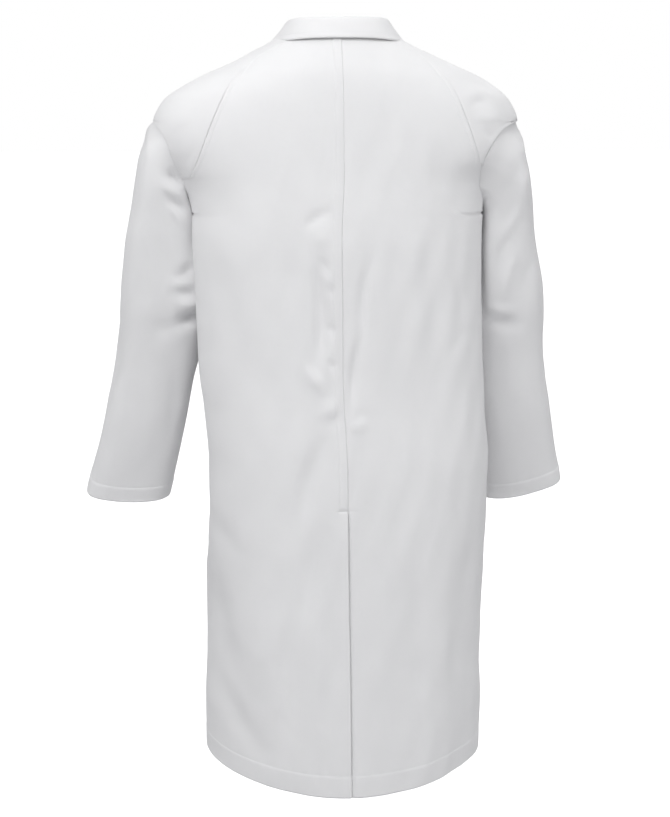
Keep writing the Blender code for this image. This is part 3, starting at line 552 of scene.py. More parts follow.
def woven_material(name, light, shade, rib=0.00075, slant=1.6, relief=0.00005):
    """Woven white cloth: slanted twill ribs, threads of uneven thickness and faint patches of tone."""
    material, nodes, links, shader = new_material(name)
    place = nodes.new("ShaderNodeUVMap")
    place.uv_map = "cloth"
    parts = nodes.new("ShaderNodeSeparateXYZ")
    links.new(place.outputs[0], parts.inputs[0])
    turns = 2.0 * math.pi / rib
    slanted = weighted_sum(nodes, links, parts.outputs[0], turns * slant, parts.outputs[1], turns)
    ribs = math_node(nodes, links, "SINE", slanted, 0.0)
    picks = math_node(nodes, links, "MULTIPLY", parts.outputs[1], turns * 2.1)
    crossing = math_node(nodes, links, "SINE", picks, 0.0)
    weave = math_node(nodes, links, "ADD", ribs, math_node(nodes, links, "MULTIPLY", crossing, 0.35))
    spot = nodes.new("ShaderNodeTexCoord")
    slub = object_noise(nodes, links, spot, 260.0, 3.0)
    height = math_node(nodes, links, "ADD", weave, math_node(nodes, links, "MULTIPLY", slub, 1.6))
    bump_from(nodes, links, shader, height, relief, 0.55)
    patches = object_noise(nodes, links, spot, 11.0, 4.0)
    mottle = weighted_sum(nodes, links, patches, 0.75, slub, 0.25)
    tone_between(nodes, links, shader, mottle, shade, light, 0.30, 0.70)
    shader.inputs["Roughness"].default_value = 0.88
    shader.inputs["Sheen Weight"].default_value = 0.25
    shader.inputs["Sheen Roughness"].default_value = 0.45
    shader.inputs["Specular IOR Level"].default_value = 0.25
    return material


def thread_material():
    """Matt white sewing thread with the roughness of its twist."""
    material, nodes, links, shader = new_material("sewing_thread")
    twist = object_noise(nodes, links, nodes.new("ShaderNodeTexCoord"), 2400.0)
    bump_from(nodes, links, shader, twist, 0.00005, 0.5)
    shader.inputs["Base Color"].default_value = (0.87, 0.872, 0.88, 1.0)
    shader.inputs["Roughness"].default_value = 0.62
    shader.inputs["Sheen Weight"].default_value = 0.2
    return material


def button_material():
    """Glossy off-white plastic with soft clouds, as in buttons made to look like shell."""
    material, nodes, links, shader = new_material("white_button_plastic")
    clouds = object_noise(nodes, links, nodes.new("ShaderNodeTexCoord"), 140.0, 5.0, 1.2)
    tone_between(nodes, links, shader, clouds, (0.76, 0.75, 0.71), (0.90, 0.89, 0.86))
    shader.inputs["Roughness"].default_value = 0.24
    shader.inputs["Coat Weight"].default_value = 0.35
    return material


COTTON = woven_material("white_cotton_twill", (0.884, 0.882, 0.886), (0.860, 0.858, 0.864))
FACING = woven_material("facing_cotton", (0.870, 0.872, 0.880), (0.845, 0.848, 0.858), 0.0006, 0.0)
TAPE = woven_material("woven_tape", (0.89, 0.89, 0.885), (0.84, 0.84, 0.835), 0.0011, 0.5, 0.00012)
THREAD = thread_material()
PLASTIC = button_material()


# ---------------------------------------------------------------- meshes
def add_object(name, data):
    """A new object in the scene."""
    item = bpy.data.objects.new(name, data)
    bpy.context.scene.collection.objects.link(item)
    return item


def turn_faces_outward(mesh):
    """Make all faces of a closed mesh face outward."""
    shaped = bmesh.new()
    shaped.from_mesh(mesh)
    bmesh.ops.recalc_face_normals(shaped, faces=shaped.faces)
    shaped.to_mesh(mesh)
    shaped.free()


def unit(vectors):
    """The vectors at a length of 1."""
    return vectors / np.maximum(np.linalg.norm(vectors, axis=-1, keepdims=True), 1e-12)


def grid_normals(points, outside_of=INSIDE_BODY, closed=False):
    """Unit normals of a grid of points, on the side away from the inside point."""
    down = np.gradient(points, axis=0)
    if closed:
        along = np.roll(points, -1, axis=1) - np.roll(points, 1, axis=1)
    else:
        along = np.gradient(points, axis=1)
    normals = unit(np.cross(down, along))
    return -normals if np.sum(normals * (points - outside_of)) < 0.0 else normals


def offset(points, distance, outside_of=INSIDE_BODY, closed=False):
    """The grid moved along its normals; the distance is a number or one number per point."""
    distance = np.asarray(distance, float)
    if distance.ndim:
        distance = distance[..., None]
    return points + grid_normals(points, outside_of, closed) * distance


def lengths_along(points, axis):
    """Running length of the grid's lines along one axis, in metres."""
    steps = np.linalg.norm(np.diff(points, axis=axis), axis=-1)
    start = np.zeros_like(np.take(steps, [0], axis=axis))
    return np.concatenate([start, np.cumsum(steps, axis=axis)], axis=axis)


def boundary_ring(rows, columns, closed):
    """Index pairs round the grid's edge, and the pair just inside each of them."""
    if closed:
        for i, inner in ((0, 1), (rows - 1, rows - 2)):
            yield [(i, j) for j in range(columns)], [(inner, j) for j in range(columns)]
        return
    ring = [(0, j) for j in range(columns)] + [(i, columns - 1) for i in range(1, rows)]
    ring += [(rows - 1, j) for j in range(columns - 2, -1, -1)] + [(i, 0) for i in range(rows - 2, 0, -1)]
    inside = [(min(max(i, 1), rows - 2), min(max(j, 1), columns - 2)) for i, j in ring]
    yield ring, inside


def faces_towards(points, quads, direction):
    """The quads, turned over if they face against the directions given for them."""
    a, b, c = (points[quads[:, k]] for k in range(3))
    against = np.sum(np.cross(b - a, c - b) * direction) < 0.0
    return quads[:, ::-1] if against else quads


def cloth(name, outer, thickness, material, outside_of=INSIDE_BODY, closed=False, roundness=0.9):
    """Closed sheet from a grid of points on its outer face, with rounded edges and lengths as UVs."""
    rows, columns = outer.shape[:2]
    count = rows * columns
    normals = grid_normals(outer, outside_of, closed)
    depth = np.broadcast_to(np.asarray(thickness, float), (rows, columns))
    inner = outer - normals * depth[..., None]
    across, along = lengths_along(outer, 1), lengths_along(outer, 0)
    uv = np.stack([across, -along], axis=-1).reshape(-1, 2)
    points = [outer.reshape(-1, 3), inner.reshape(-1, 3)]
    places = [uv, uv]
    index = np.arange(count).reshape(rows, columns)
    following = np.roll(index, -1, axis=1) if closed else index[:, 1:]
    this = index if closed else index[:, :-1]
    quads = np.stack([this[:-1], this[1:], following[1:], following[:-1]], axis=-1).reshape(-1, 4)
    quads = faces_towards(points[0], quads, normals.reshape(-1, 3)[quads[:, 0]])
    faces = [quads, quads[:, ::-1] + count]
    base = 2 * count
    for ring, inside in boundary_ring(rows, columns, closed):
        edge, within = (np.array([i * columns + j for i, j in pairs]) for pairs in (ring, inside))
        top, bottom = points[0][edge], points[1][edge]
        away = unit(top - points[0][within])
        half = 0.5 * np.linalg.norm(top - bottom, axis=1, keepdims=True)
        points.append(0.5 * (top + bottom) + away * half * roundness)
        places.append(uv[edge])
        middle = base + np.arange(len(edge))
        base += len(edge)
        after, middle_after = np.roll(edge, -1), np.roll(middle, -1)
        strip = np.concatenate([np.stack([edge, middle, middle_after, after], axis=1),
                                np.stack([middle, edge + count, after + count, middle_after], axis=1)])
        faces.append(faces_towards(np.concatenate(points), strip, np.concatenate([away, away])))
    mesh = bpy.data.meshes.new(name)
    mesh.from_pydata(np.concatenate(points).tolist(), [], np.concatenate(faces).tolist())
    layer = mesh.uv_layers.new(name="cloth")
    corner = np.empty(len(mesh.loops), dtype=np.int64)
    mesh.loops.foreach_get("vertex_index", corner)
    layer.data.foreach_set("uv", np.concatenate(places)[corner].astype(np.float32).ravel())
    mesh.materials.append(material)
    mesh.shade_smooth()
    return add_object(name, mesh)


STITCH_SIDES = 6
# One stitch's rings: place along it, size, and height above the cloth, which its ends dip into.
STITCH_RINGS = ((-0.5, 0.35, -0.5), (-0.3, 0.9, 0.2), (0.3, 0.9, 0.2), (0.5, 0.35, -0.5))
TANGENT_STEP = 0.0006


def stitch_mesh(name, runs, pitch=STITCH_PITCH, length=STITCH_LENGTH, radius=THREAD_RADIUS):
    """Separate stitches along paths. Each run is (points, normals) along the cloth's outer face."""
    centres, tangents, normals = [], [], []
    for path, out in runs:
        steps = np.linalg.norm(np.diff(path, axis=0), axis=1)
        arc = np.concatenate([[0.0], np.cumsum(steps)])
        number = int(arc[-1] / pitch)
        if number < 1:
            continue
        at = (np.arange(number) + 0.5) * arc[-1] / number
        centres.append(along_path(at, arc, path))
        normals.append(along_path(at, arc, out))
        tangents.append(along_path(at + TANGENT_STEP, arc, path) - along_path(at - TANGENT_STEP, arc, path))
    centre, tangent, out = (np.concatenate(part) for part in (centres, tangents, normals))
    tangent, out = unit(tangent), unit(out)
    side = unit(np.cross(tangent, out))
    rings = []
    for shift, size, lift in STITCH_RINGS:
        middle = centre + tangent * shift * length + out * lift * radius
        for k in range(STITCH_SIDES):
            turn = 2.0 * math.pi * k / STITCH_SIDES
            rings.append(middle + (side * math.cos(turn) + out * math.sin(turn)) * radius * size)
    points = np.stack(rings, axis=1).reshape(-1, 3)
    pattern = []
    for ring in range(len(STITCH_RINGS) - 1):
        for k in range(STITCH_SIDES):
            a, b = ring * STITCH_SIDES + k, ring * STITCH_SIDES + (k + 1) % STITCH_SIDES
            pattern.append((a, a + STITCH_SIDES, b + STITCH_SIDES, b))
    per_stitch = len(STITCH_RINGS) * STITCH_SIDES
    firsts = per_stitch * np.arange(len(centre))
    quads = (np.array(pattern)[None] + firsts[:, None, None]).reshape(-1, 4)
    ends = []
    for first in firsts.tolist():
        ends.append([first + k for k in range(STITCH_SIDES)])
        ends.append([first + per_stitch - 1 - k for k in range(STITCH_SIDES)])
    mesh = bpy.data.meshes.new(name)
    mesh.from_pydata(points.tolist(), [], quads.tolist() + ends)
    mesh.materials.append(THREAD)
    mesh.shade_smooth()
    turn_faces_outward(mesh)
    return add_object(name, mesh)


def along_path(at, arc, values):
    """Values of a path at running lengths, where arc holds the running length at each of its points."""
    return np.stack([np.interp(at, arc, values[:, k]) for k in range(3)], axis=-1)


def run_along(points, rows=slice(None), columns=slice(None), outside_of=INSIDE_BODY):
    """A stitch run on one column or one row of a grid: one of the two is a number, the other a slice."""
    return points[rows, columns], grid_normals(points, outside_of)[rows, columns]


def attach(item, motion, slot, *nodes):
    """motion is root, back or front with a side, or sleeve with a side."""
    kind, side = motion
    if kind == "root":
        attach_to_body(item, "root")
    elif kind == "sleeve":
        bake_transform(item)
    else:
        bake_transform(item)
    if nodes:
        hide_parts(*nodes)


ROOT = ("root", 1)


def sew(item, name, runs, motion, *nodes):
    """Place a cotton piece and the stitches in it in the same way."""
    sewn = stitch_mesh(name, runs)
    attach(item, motion, "coat_cotton", *nodes)
    attach(sewn, motion, "coat_cotton")
    return sewn


# ---------------------------------------------------------------- panels on the body
LINE_SAMPLES = 260          # points on which a row's length is measured


def column_places(width, near, far, middle):
    """Distances of the columns from the first edge: fixed ones at both edges, even ones between."""
    near, far = np.array(near), np.array(far)
    longest = max(near[-1], far[-1])
    shrink = min(1.0, 0.42 * width / longest)
    inner = np.linspace(near[-1] * shrink, width - far[-1] * shrink, middle + 2)[1:-1]
    return np.concatenate([near * shrink, inner, width - far[::-1] * shrink])


def hem_line(theta, level, top):
    """Heights of one row: level above the skirt's top, following the lower middle of the hem below it."""
    if level >= top:
        return np.full_like(theta, level)
    share = (level - top) / (HEM_AT_SIDE - top)
    return level - HEM_DROP * np.cos(theta) ** 2 * share


def panel(levels, start, end, side, near, far, middle, top):
    """Grid on the body between two edges, with each column's distance from both edges."""
    grid, first, last = [], [], []
    for level in levels:
        dense = np.linspace(float(start(level, side)), float(end(level, side)), LINE_SAMPLES)
        line = body_surface(dense, hem_line(dense, level, top), side)
        arc = lengths_along(line, 0)
        places = column_places(arc[-1], near, far, middle)
        theta = np.interp(places, arc, dense)
        grid.append(body_surface(theta, hem_line(theta, level, top), side))
        first.append(places)
        last.append(arc[-1] - places)
    return np.array(grid), np.array(first), np.array(last)


def row_levels(top, bottom, hem):
    """Heights of the rows, closer together at the hem's fold and stitches."""
    above_hem = np.array(hem)
    number = int((top - bottom - above_hem[0]) / GRID)
    return np.concatenate([np.linspace(top, bottom + above_hem[0], number)[:-1], bottom + above_hem])


# Rows and columns of the grids, as distances from an edge, closer together at stitches and folded edges.
HEM_ROWS = [0.0310, 0.0285, 0.0272, HEM_STITCH, 0.0248, 0.0235, 0.0200, 0.0150, 0.0100, 0.0060, 0.0030,
            0.0012, 0.0]
TACK_ROWS = [0.0046, 0.0030, 0.0018, 0.0009, 0.0, -0.0009, -0.0018, -0.0030, -0.0046]
TACK_WIDTH = 0.014
SEAM_COLUMNS = [0.0, 0.0012, 0.0026, 0.0045, 0.0070, 0.0092, 0.0104, BACK_STRIP, 0.0126, 0.0138, 0.0165,
                0.0210]
RAGLAN_COLUMNS = [0.0, 0.0010, 0.0022, 0.0036, 0.0050, RAGLAN_STRIP, 0.0070, 0.0084, 0.0110, 0.0150]
EDGE_COLUMNS = [0.0, 0.0010, 0.0024, 0.0040, 0.0051, EDGE_STITCH, 0.0069, 0.0082, 0.0105, 0.0140]
ARMHOLE_COLUMNS = [0.0, 0.0010, 0.0024, 0.0045, 0.0075, 0.0120]
CAP_ROWS = [0.0, 0.0004, 0.0010, 0.0020, 0.0034, 0.0052, 0.0075, 0.0105, 0.0140, 0.018]
CAP_FRONT_TOP = -0.013
BACK_MIDDLE_COLUMNS = 58
FRONT_MIDDLE_COLUMNS = 32
CAP_MIDDLE_COLUMNS = 18


def body_ripples(points, seed, strength=1.0):
    """Gentle unevenness of hanging cloth: long vertical waves, and fine short creases."""
    x, z = points[..., 0] + 0.6 * points[..., 1], points[..., 2]
    below = smooth_step((-0.08 - z) / 0.25)
    long = 0.0016 * ripples(x, z, 0.10, 0.42, seed)
    short = 0.00065 * ripples(x, z, 0.034, 0.085, seed + 1, 9)
    fine = 0.00016 * ripples(x, z, 0.014, 0.024, seed + 2, 9)
    return strength * (long * below + short + fine)


def from_centre_seam(points):
    """Distance of the points to the wearer's left of the centre seam."""
    z = points[..., 2]
    return points[..., 0] - measure(SWAY, z) - measure(SEAM_SHIFT, z)


def vent_relief(points, side):
    """At the vent the left half's edge lies on the right half, which dips under it."""
    z = points[..., 2]
    across = from_centre_seam(points)
    if side > 0:
        below = smooth_step((VENT_TOP + 0.002 - z) / 0.030)
        return VENT_EDGE_RISE * smooth_step((0.030 - across) / 0.030) * below
    return -VENT_DIP * smooth_step((across + 0.0032) / 0.0030) * smooth_step((VENT_START - z) / 0.012)


def over_hem(levels, shape):
    """Height of every grid point over the hem's edge."""
    return (levels - levels[-1])[:, None] * np.ones(shape)


def row_of(levels, height):
    """The first row at or below a height."""
    return int(np.searchsorted(-levels, -height))


def raglan_and_hem_runs(outer, levels, join):
    """Stitches along the raglan seam and along the hem."""
    raglan_column = outer.shape[1] - 1 - RAGLAN_COLUMNS.index(RAGLAN_STRIP)
    hem_row = len(levels) - len(HEM_ROWS) + HEM_ROWS.index(HEM_STITCH)
    return [run_along(outer, slice(0, row_of(levels, join)), raglan_column), run_along(outer, hem_row)]


def make_back():
    """Both back panels from the neck to the hem, with the centre seam, the vent and the hem."""
    for word, side in SIDES:
        levels = row_levels(BACK_TOP, HEM_AT_SIDE, HEM_ROWS)
        levels = np.sort(np.concatenate([levels, VENT_TOP + np.array(TACK_ROWS)]))[::-1]
        points, first, last = panel(levels, back_centre, back_outer, side, SEAM_COLUMNS, RAGLAN_COLUMNS,
                                    BACK_MIDDLE_COLUMNS, BACK_SKIRT_TOP)
        z = points[..., 2]
        from_seam = np.maximum(side * from_centre_seam(points), 0.0)
        level = levels[:, None] * np.ones(z.shape)
        seamed = smooth_step((level - VENT_TOP) / 0.006)
        relief = fold_height(points[..., 0], z, BACK_FOLDS) + body_ripples(points, 11 + side)
        relief *= settled(from_seam, 0.0, 0.012, 0.25)
        relief *= settled(last, 0.002, 0.030, 0.15)
        if side > 0:
            relief += pressed_strip(first, BACK_STRIP) * seamed
        else:
            relief += seam_dip(from_seam, 0.0002) * seamed
        relief += vent_relief(points, side)
        tacked = smooth_step((TACK_WIDTH - from_seam) / 0.003) * (1.0 if side > 0 else 0.35)
        relief += seam_dip(level - VENT_TOP, 0.0009, 0.0014) * tacked
        relief += puckers(from_seam - BACK_STRIP * (side > 0), z, 31 + side) * seamed
        relief += raglan_relief(last, z, BACK_JOIN[side], 41 + side)
        above = over_hem(levels, z.shape)
        relief += hem_relief(above, HEM_STITCH, 0.0004, 0.0002)
        relief += puckers(above - HEM_STITCH, points[..., 0], 51 + side, 0.0004)
        outer = offset(points, relief)
        thickness = CLOTH + EXTRA_LAYERS * hem_band(above, HEM_STITCH)
        item = cloth(f"back_{word}", outer, thickness, COTTON)
        runs = []
        if side > 0:
            seam_end = row_of(levels, VENT_TOP)
            strip_column = SEAM_COLUMNS.index(BACK_STRIP)
            runs.append(run_along(outer, slice(0, seam_end), strip_column))
            for tack_row in (seam_end, seam_end + 1):
                runs.append(run_along(outer, tack_row, slice(0, strip_column + 1)))
        runs += raglan_and_hem_runs(outer, levels, BACK_JOIN[side])
        sewn = sew(item, f"stitches_back_{word}", runs, ("back", side),
                   f"back_{word}_upper", f"back_{word}_skirt")


def front_sink(distance):
    """The right front goes under the left one and its facing; distance is from the body's middle."""
    return -FRONT_SINK * smooth_step((0.085 - distance) / 0.050)


def make_front():
    """Both fronts with their facings, from under the collar to the hem."""
    for word, side in SIDES:
        levels = row_levels(FRONT_TOP, HEM_AT_SIDE, HEM_ROWS)
        points, first, last = panel(levels, front_inner, front_outer, side, EDGE_COLUMNS, RAGLAN_COLUMNS,
                                    FRONT_MIDDLE_COLUMNS, FRONT_SKIRT_TOP)
        x, z = points[..., 0], points[..., 2]
        quiet = smooth_step((-0.230 - z) / 0.10)
        relief = (fold_height(x, z, FRONT_FOLDS) + body_ripples(points, 61 + side, 0.8)) * quiet
        relief *= settled(first, 0.010, 0.060)
        relief *= settled(last, 0.002, 0.030, 0.15)
        if side < 0:
            relief += front_sink(measure(SWAY, z) - x)
        from_stitches = first - EDGE_STITCH
        edge = smooth_step((BREAK_POINT - z) / 0.01)
        relief += (seam_dip(from_stitches, 0.0003, 0.0011) + puckers(from_stitches, z, 71)) * edge
        relief += raglan_relief(last, z, FRONT_JOIN, 81 + side)
        above = over_hem(levels, z.shape)
        relief += hem_relief(above, HEM_STITCH, 0.0004, 0.0002)
        relief += puckers(above - HEM_STITCH, x, 91 + side, 0.0004)
        outer = offset(points, relief)
        thickness = CLOTH + EXTRA_LAYERS * hem_band(above, HEM_STITCH)
        item = cloth(f"front_{word}", outer, thickness, COTTON)
        break_row = row_of(levels, BREAK_POINT)
        runs = [run_along(outer, slice(break_row, None), EDGE_COLUMNS.index(EDGE_STITCH))]
        runs += raglan_and_hem_runs(outer, levels, FRONT_JOIN)
        sewn = sew(item, f"stitches_front_{word}", runs, ("front", side),
                   f"front_{word}_upper", f"front_{word}_skirt")
        covered = int(np.searchsorted(first[-1], FACING_WIDTH))
        backing = offset(outer, -thickness - 0.0003)[break_row:-1, 1:covered]
        facing = cloth(f"facing_{word}_cloth", backing, FACING_CLOTH, FACING)
        attach(facing, ("front", side), "facing_cotton", f"facing_{word}", f"facing_{word}_skirt")


def make_cap(name, node, side, inner, outer_edge, top, join, folds):
    """One half of a raglan cap, which ends in a rolled fold that overhangs the sleeve."""
    levels = np.concatenate([np.linspace(top, SHOULDER_END, 30)[:-1], SHOULDER_END - np.array(CAP_ROWS),
                             np.linspace(SHOULDER_END - 0.022, join + 0.0004, 12)])
    points, first, last = panel(levels, inner, outer_edge, side, RAGLAN_COLUMNS, ARMHOLE_COLUMNS,
                                CAP_MIDDLE_COLUMNS, BACK_SKIRT_TOP)
    z = points[..., 2]
    relief = fold_height(points[..., 0], z, folds) + body_ripples(points, 101 + side, 0.7)
    relief *= settled(first, 0.001, 0.015)
    ridge = smooth_step((z - SHOULDER_END) / 0.010)
    relief *= 1.0 - ridge * (1.0 - smooth_step(last / 0.02))
    relief += seam_dip(first) - 0.0016 * smooth_step((join + 2.0 * JOIN_COVER - z) / JOIN_COVER)
    fold = smooth_step((SHOULDER_END + 0.004 - z) / 0.010) * smooth_step((0.014 - last) / 0.014)
    relief += 0.0004 * fold
    thickness = CLOTH + 0.0014 * fold * smooth_step((z - join) / 0.015)
    item = cloth(name, offset(points, relief), thickness, COTTON, roundness=1.0)
    attach(item, ROOT, "coat_cotton", node)
    return item


def make_caps():
    """Raglan caps over both shoulders, in a back and a front half each."""
    for word, side in SIDES:
        for where, inner, outer_edge, top, join, folds in (
                ("back", cap_back_inner, cap_back_outer, BACK_TOP, BACK_JOIN[side], CAP_FOLDS[side]),
                ("front", cap_front_inner, cap_front_outer, CAP_FRONT_TOP, FRONT_JOIN, [])):
            item = make_cap(f"cap_{word}_{where}", f"raglan_{word}_{where}", side, inner, outer_edge, top,
                            join, folds)


# ---------------------------------------------------------------- sleeves
SLEEVE_CENTRE = {side: np.array((side * 0.250, -0.030, -0.400)) for _, side in SIDES}
SLEEVE_HEM_ROWS = [0.0250, 0.0225, 0.0212, CUFF_STITCH, 0.0188, 0.0175, 0.0140, 0.0100, 0.0060, 0.0030,
                   0.0012, 0.0]
SLEEVE_AROUND = 96
SLEEVE_LENGTH_ROWS = 92
SLEEVE_RADIUS = 0.04        # turns the angle round a sleeve into metres
ARMHOLE_CLEARANCE = 0.0016  # the sleeve's top edge lies this far inside the armhole's
ARMHOLE_INSET = 0.02        # and is set in by this share of the armhole's width
RIGHT_FULLNESS = 0.14       # the right sleeve is this much deeper where the shoulder sinks into it


def armhole_ring(phi, side):
    """Points just inside the armhole's edge; phi is 0 at the shoulder and half a turn at the armpit."""
    z = 0.5 * (SHOULDER_END + ARMPIT) + 0.5 * (SHOULDER_END - ARMPIT) * np.cos(phi) * 0.985
    at_side = theta_at_y(SIDE_SEAM_Y, z)
    edge = np.where(np.sin(phi) > 0.0, armhole_back(z, side), armhole_front(z, side))
    point = body_surface(edge + (at_side - edge) * ARMHOLE_INSET, z, side)
    point[..., 0] -= side * ARMHOLE_CLEARANCE
    return point


def free_sleeve(phi, z, side):
    """Points of the hanging sleeve, which is an oval at each height."""
    inner, outer = measure(SLEEVE_INNER[side], z), measure(SLEEVE_OUTER[side], z)
    half = measure(SLEEVE_HALF_DEPTH, z)
    if side < 0:
        half = half * (1.0 + RIGHT_FULLNESS * np.exp(-((z + 0.178) / 0.060) ** 2))
    across, along = np.cos(phi), np.sin(phi)
    power = SLEEVE_SQUARENESS
    scale = (np.abs(across) ** power + np.abs(along) ** power) ** (-1.0 / power)
    x = 0.5 * (inner + outer) + 0.5 * (outer - inner) * across * scale
    y = measure(SLEEVE_MIDDLE_Y, z) + half * along * scale
    return np.stack([side * x, y, z], axis=-1)


def make_sleeves():
    """Each sleeve is one tube from the armhole to the cuff, with a stitched hem; its two long seams are not
    drawn.
    """
    for word, side in SIDES:
        phi = np.arange(SLEEVE_AROUND) * 2.0 * math.pi / SLEEVE_AROUND
        ring = armhole_ring(phi, side)
        cuff = CUFF_MIDDLE - CUFF_FORWARD_TILT * np.sin(phi) + CUFF_SIDE_TILT[side] * np.cos(phi)
        shares = np.linspace(0.0, 1.0, SLEEVE_LENGTH_ROWS)[:-1] ** 1.12
        heights = [ring[:, 2] + (cuff + SLEEVE_HEM_ROWS[0] - ring[:, 2]) * share for share in shares]
        heights += [cuff + above for above in SLEEVE_HEM_ROWS]
        z = np.array(heights)
        drop = ring[None, :, 2] - z
        mix = smooth_step(drop / (0.024 - 0.014 * np.maximum(np.cos(phi), 0.0)[None] ** 2))[..., None]
        points = ring[None] * (1.0 - mix) + free_sleeve(phi[None], z, side) * mix
        x, y, z = points[..., 0], points[..., 1], points[..., 2]
        middle = measure(SLEEVE_MIDDLE_Y, z)
        at_back = smooth_step((y - middle + 0.004) / 0.022)
        away_from_body = smooth_step((np.abs(x) - measure(SLEEVE_INNER[side], z) - 0.001) / 0.018)
        relief = at_back * fold_height(x, z, SLEEVE_FOLDS[side])
        relief += (1.0 - at_back) * fold_height(x, z, SLEEVE_FRONT_FOLDS[side])
        elbow = 0.0045 * np.exp(-((z + 0.350) / 0.060) ** 2) - 0.0035 * np.exp(-((z + 0.460) / 0.060) ** 2)
        relief += elbow * at_back
        around = np.broadcast_to(phi * SLEEVE_RADIUS, z.shape)
        relief += 0.0010 * ripples(around, z, 0.060, 0.140, 121 + side)
        relief += 0.0003 * ripples(around, z, 0.022, 0.045, 131 + side, 9)
        relief *= smooth_step((drop - 0.002) / 0.010) * (0.30 + 0.70 * away_from_body)
        above = z - cuff
        relief *= smooth_step((above + 0.01) / 0.05)
        relief += hem_relief(above, CUFF_STITCH, 0.0006, 0.0004)
        relief += puckers(above - CUFF_STITCH, around * 3.0, 141, 0.0004)
        centre = SLEEVE_CENTRE[side]
        outer = offset(points, relief, centre, closed=True)
        thickness = CLOTH + EXTRA_LAYERS * hem_band(above, CUFF_STITCH)
        item = cloth(f"sleeve_{word}", outer, thickness, COTTON, centre, closed=True)
        looped = np.concatenate([outer, outer[:, :1]], axis=1)
        hem_row = len(outer) - len(SLEEVE_HEM_ROWS) + SLEEVE_HEM_ROWS.index(CUFF_STITCH)
        runs = [run_along(looped, hem_row, outside_of=centre)]
        sewn = sew(item, f"stitches_sleeve_{word}", runs, ("sleeve", side),
                   f"sleeve_{word}_back", f"sleeve_{word}_front")


# ---------------------------------------------------------------- neck, collar and lapels
def across_back(top, bottom, half_width, rows, columns, depth):
    """Strip across centre back, at a depth behind the outer face."""
    grid = []
    for z in np.linspace(top, bottom, rows):
        end = float(theta_at_x(half_width, z, front=False))
        grid.append(body_surface(np.linspace(-end, end, columns), z, 1))
    return offset(np.array(grid), -depth)


NECK_FACING_DEPTH = 2.0 * LAYER
LABEL_DEPTH = NECK_FACING_DEPTH + 1.4 * LAYER
LABEL_CLOTH = 0.0005


def make_neck_inside():
    """The facing inside the back neck, and a blank label on it."""
    strip = across_back(-0.008, -0.062, 0.055, 14, 30, NECK_FACING_DEPTH)
    facing = cloth("neck_facing_cloth", strip, FACING_CLOTH, FACING)
    attach(facing, ROOT, "facing_cotton", "back_neck_facing")
    patch = across_back(-0.034, -0.050, 0.016, 8, 14, LABEL_DEPTH)
    label = cloth("blank_label", patch, LABEL_CLOTH, TAPE)
    attach(label, ROOT, "loop_tape", "size_label")


LOOP_PATH = [(-0.036, -0.0240), (-0.029, -0.0130), (-0.018, -0.0060), (-0.009, -0.0040),
             (0.009, -0.0040), (0.018, -0.0060), (0.029, -0.0130), (0.036, -0.0240)]
LOOP_WIDTH = 0.008
LOOP_FRONT_Y = 0.044
LOOP_THICKNESS = 0.0011
LOOP_DROP = 0.0002


def make_hanger_loop():
    """Flat woven tape, stitched down at both ends. A hook goes under its level middle."""
    path = spline(np.array([(x, 0.0, z) for x, z in LOOP_PATH]), 6)
    grid = np.array([path + np.array((0.0, LOOP_FRONT_Y + LOOP_WIDTH * share, -LOOP_DROP))
                     for share in np.linspace(0.0, 1.0, 7)])
    under = np.array((0.0, 0.05, -0.1))
    item = cloth("hanger_tape", grid, LOOP_THICKNESS, TAPE, under)
    runs = [run_along(grid, columns=place, outside_of=under)
            for place in (1, 4, len(path) - 5, len(path) - 2)]
    sewn = stitch_mesh("stitches_hanger_tape", runs, pitch=0.0016, length=0.0015)
    attach(item, ROOT, "loop_tape", "hanger_loop")
    attach(sewn, ROOT, "loop_tape")


def spline(points, steps):
    """Points along a smooth curve through the given points, which may be rows of a grid."""
    result = []
    last = len(points) - 1
    for i in range(last):
        before, after = points[max(i - 1, 0)], points[min(i + 2, last)]
        for s in range(steps):
            t = s / steps
            result.append(0.5 * ((2.0 * points[i]) + (points[i + 1] - before) * t
                                 + (2.0 * before - 5.0 * points[i] + 4.0 * points[i + 1] - after) * t ** 2
                                 + (3.0 * points[i] - before - 3.0 * points[i + 1] + after) * t ** 3))
    result.append(points[last])
    return np.array(result)


def on_front(x, z, height, side=1, step=0.002):
    """Points above the front's outer face at distances x from the middle."""
    theta = theta_at_x(x, z, front=True)
    point = body_surface(theta, z, side)
    down = body_surface(theta_at_x(x, z - step, front=True), z - step, side) - point
    along = body_surface(theta_at_x(x + step, z, front=True), z, side) - point
    normal = unit(np.cross(down, along))
    outward = np.sign(np.sum(normal * (point - INSIDE_BODY), axis=-1, keepdims=True))
    return point + normal * outward * np.asarray(height)[..., None]


# The left half of the collar from centre back to its front end. Each station is the base, upper stand, roll,
# upper fall and edge. The last ones lie on the front: distance from the middle, height and lift off it.
COLLAR_ROUND_NECK = [
    [(0.000, 0.0645, -0.0005), (0.000, 0.0575, 0.0105), (0.000, 0.0590, 0.0160), (0.000, 0.0650, 0.0130),
     (0.000, 0.0758, -0.0092)],
    [(0.034, 0.0565, -0.0005), (0.033, 0.0505, 0.0105), (0.0335, 0.0520, 0.0160), (0.0350, 0.0570, 0.0125),
     (0.0405, 0.0694, -0.0100)],
    [(0.060, 0.0380, -0.0015), (0.0555, 0.0350, 0.0095), (0.0570, 0.0360, 0.0150), (0.0590, 0.0400, 0.0115),
     (0.0695, 0.0500, -0.0125)],
    [(0.0755, 0.0100, -0.0025), (0.0675, 0.0100, 0.0055), (0.0680, 0.0105, 0.0110),
     (0.0715, 0.0120, 0.0065), (0.0860, 0.0130, -0.0145)],
    [(0.0785, -0.0180, -0.0035), (0.0705, -0.0180, -0.0010), (0.0700, -0.0190, 0.0035),
     (0.0755, -0.0210, -0.0010), (0.0985, -0.0250, -0.0255)],
]
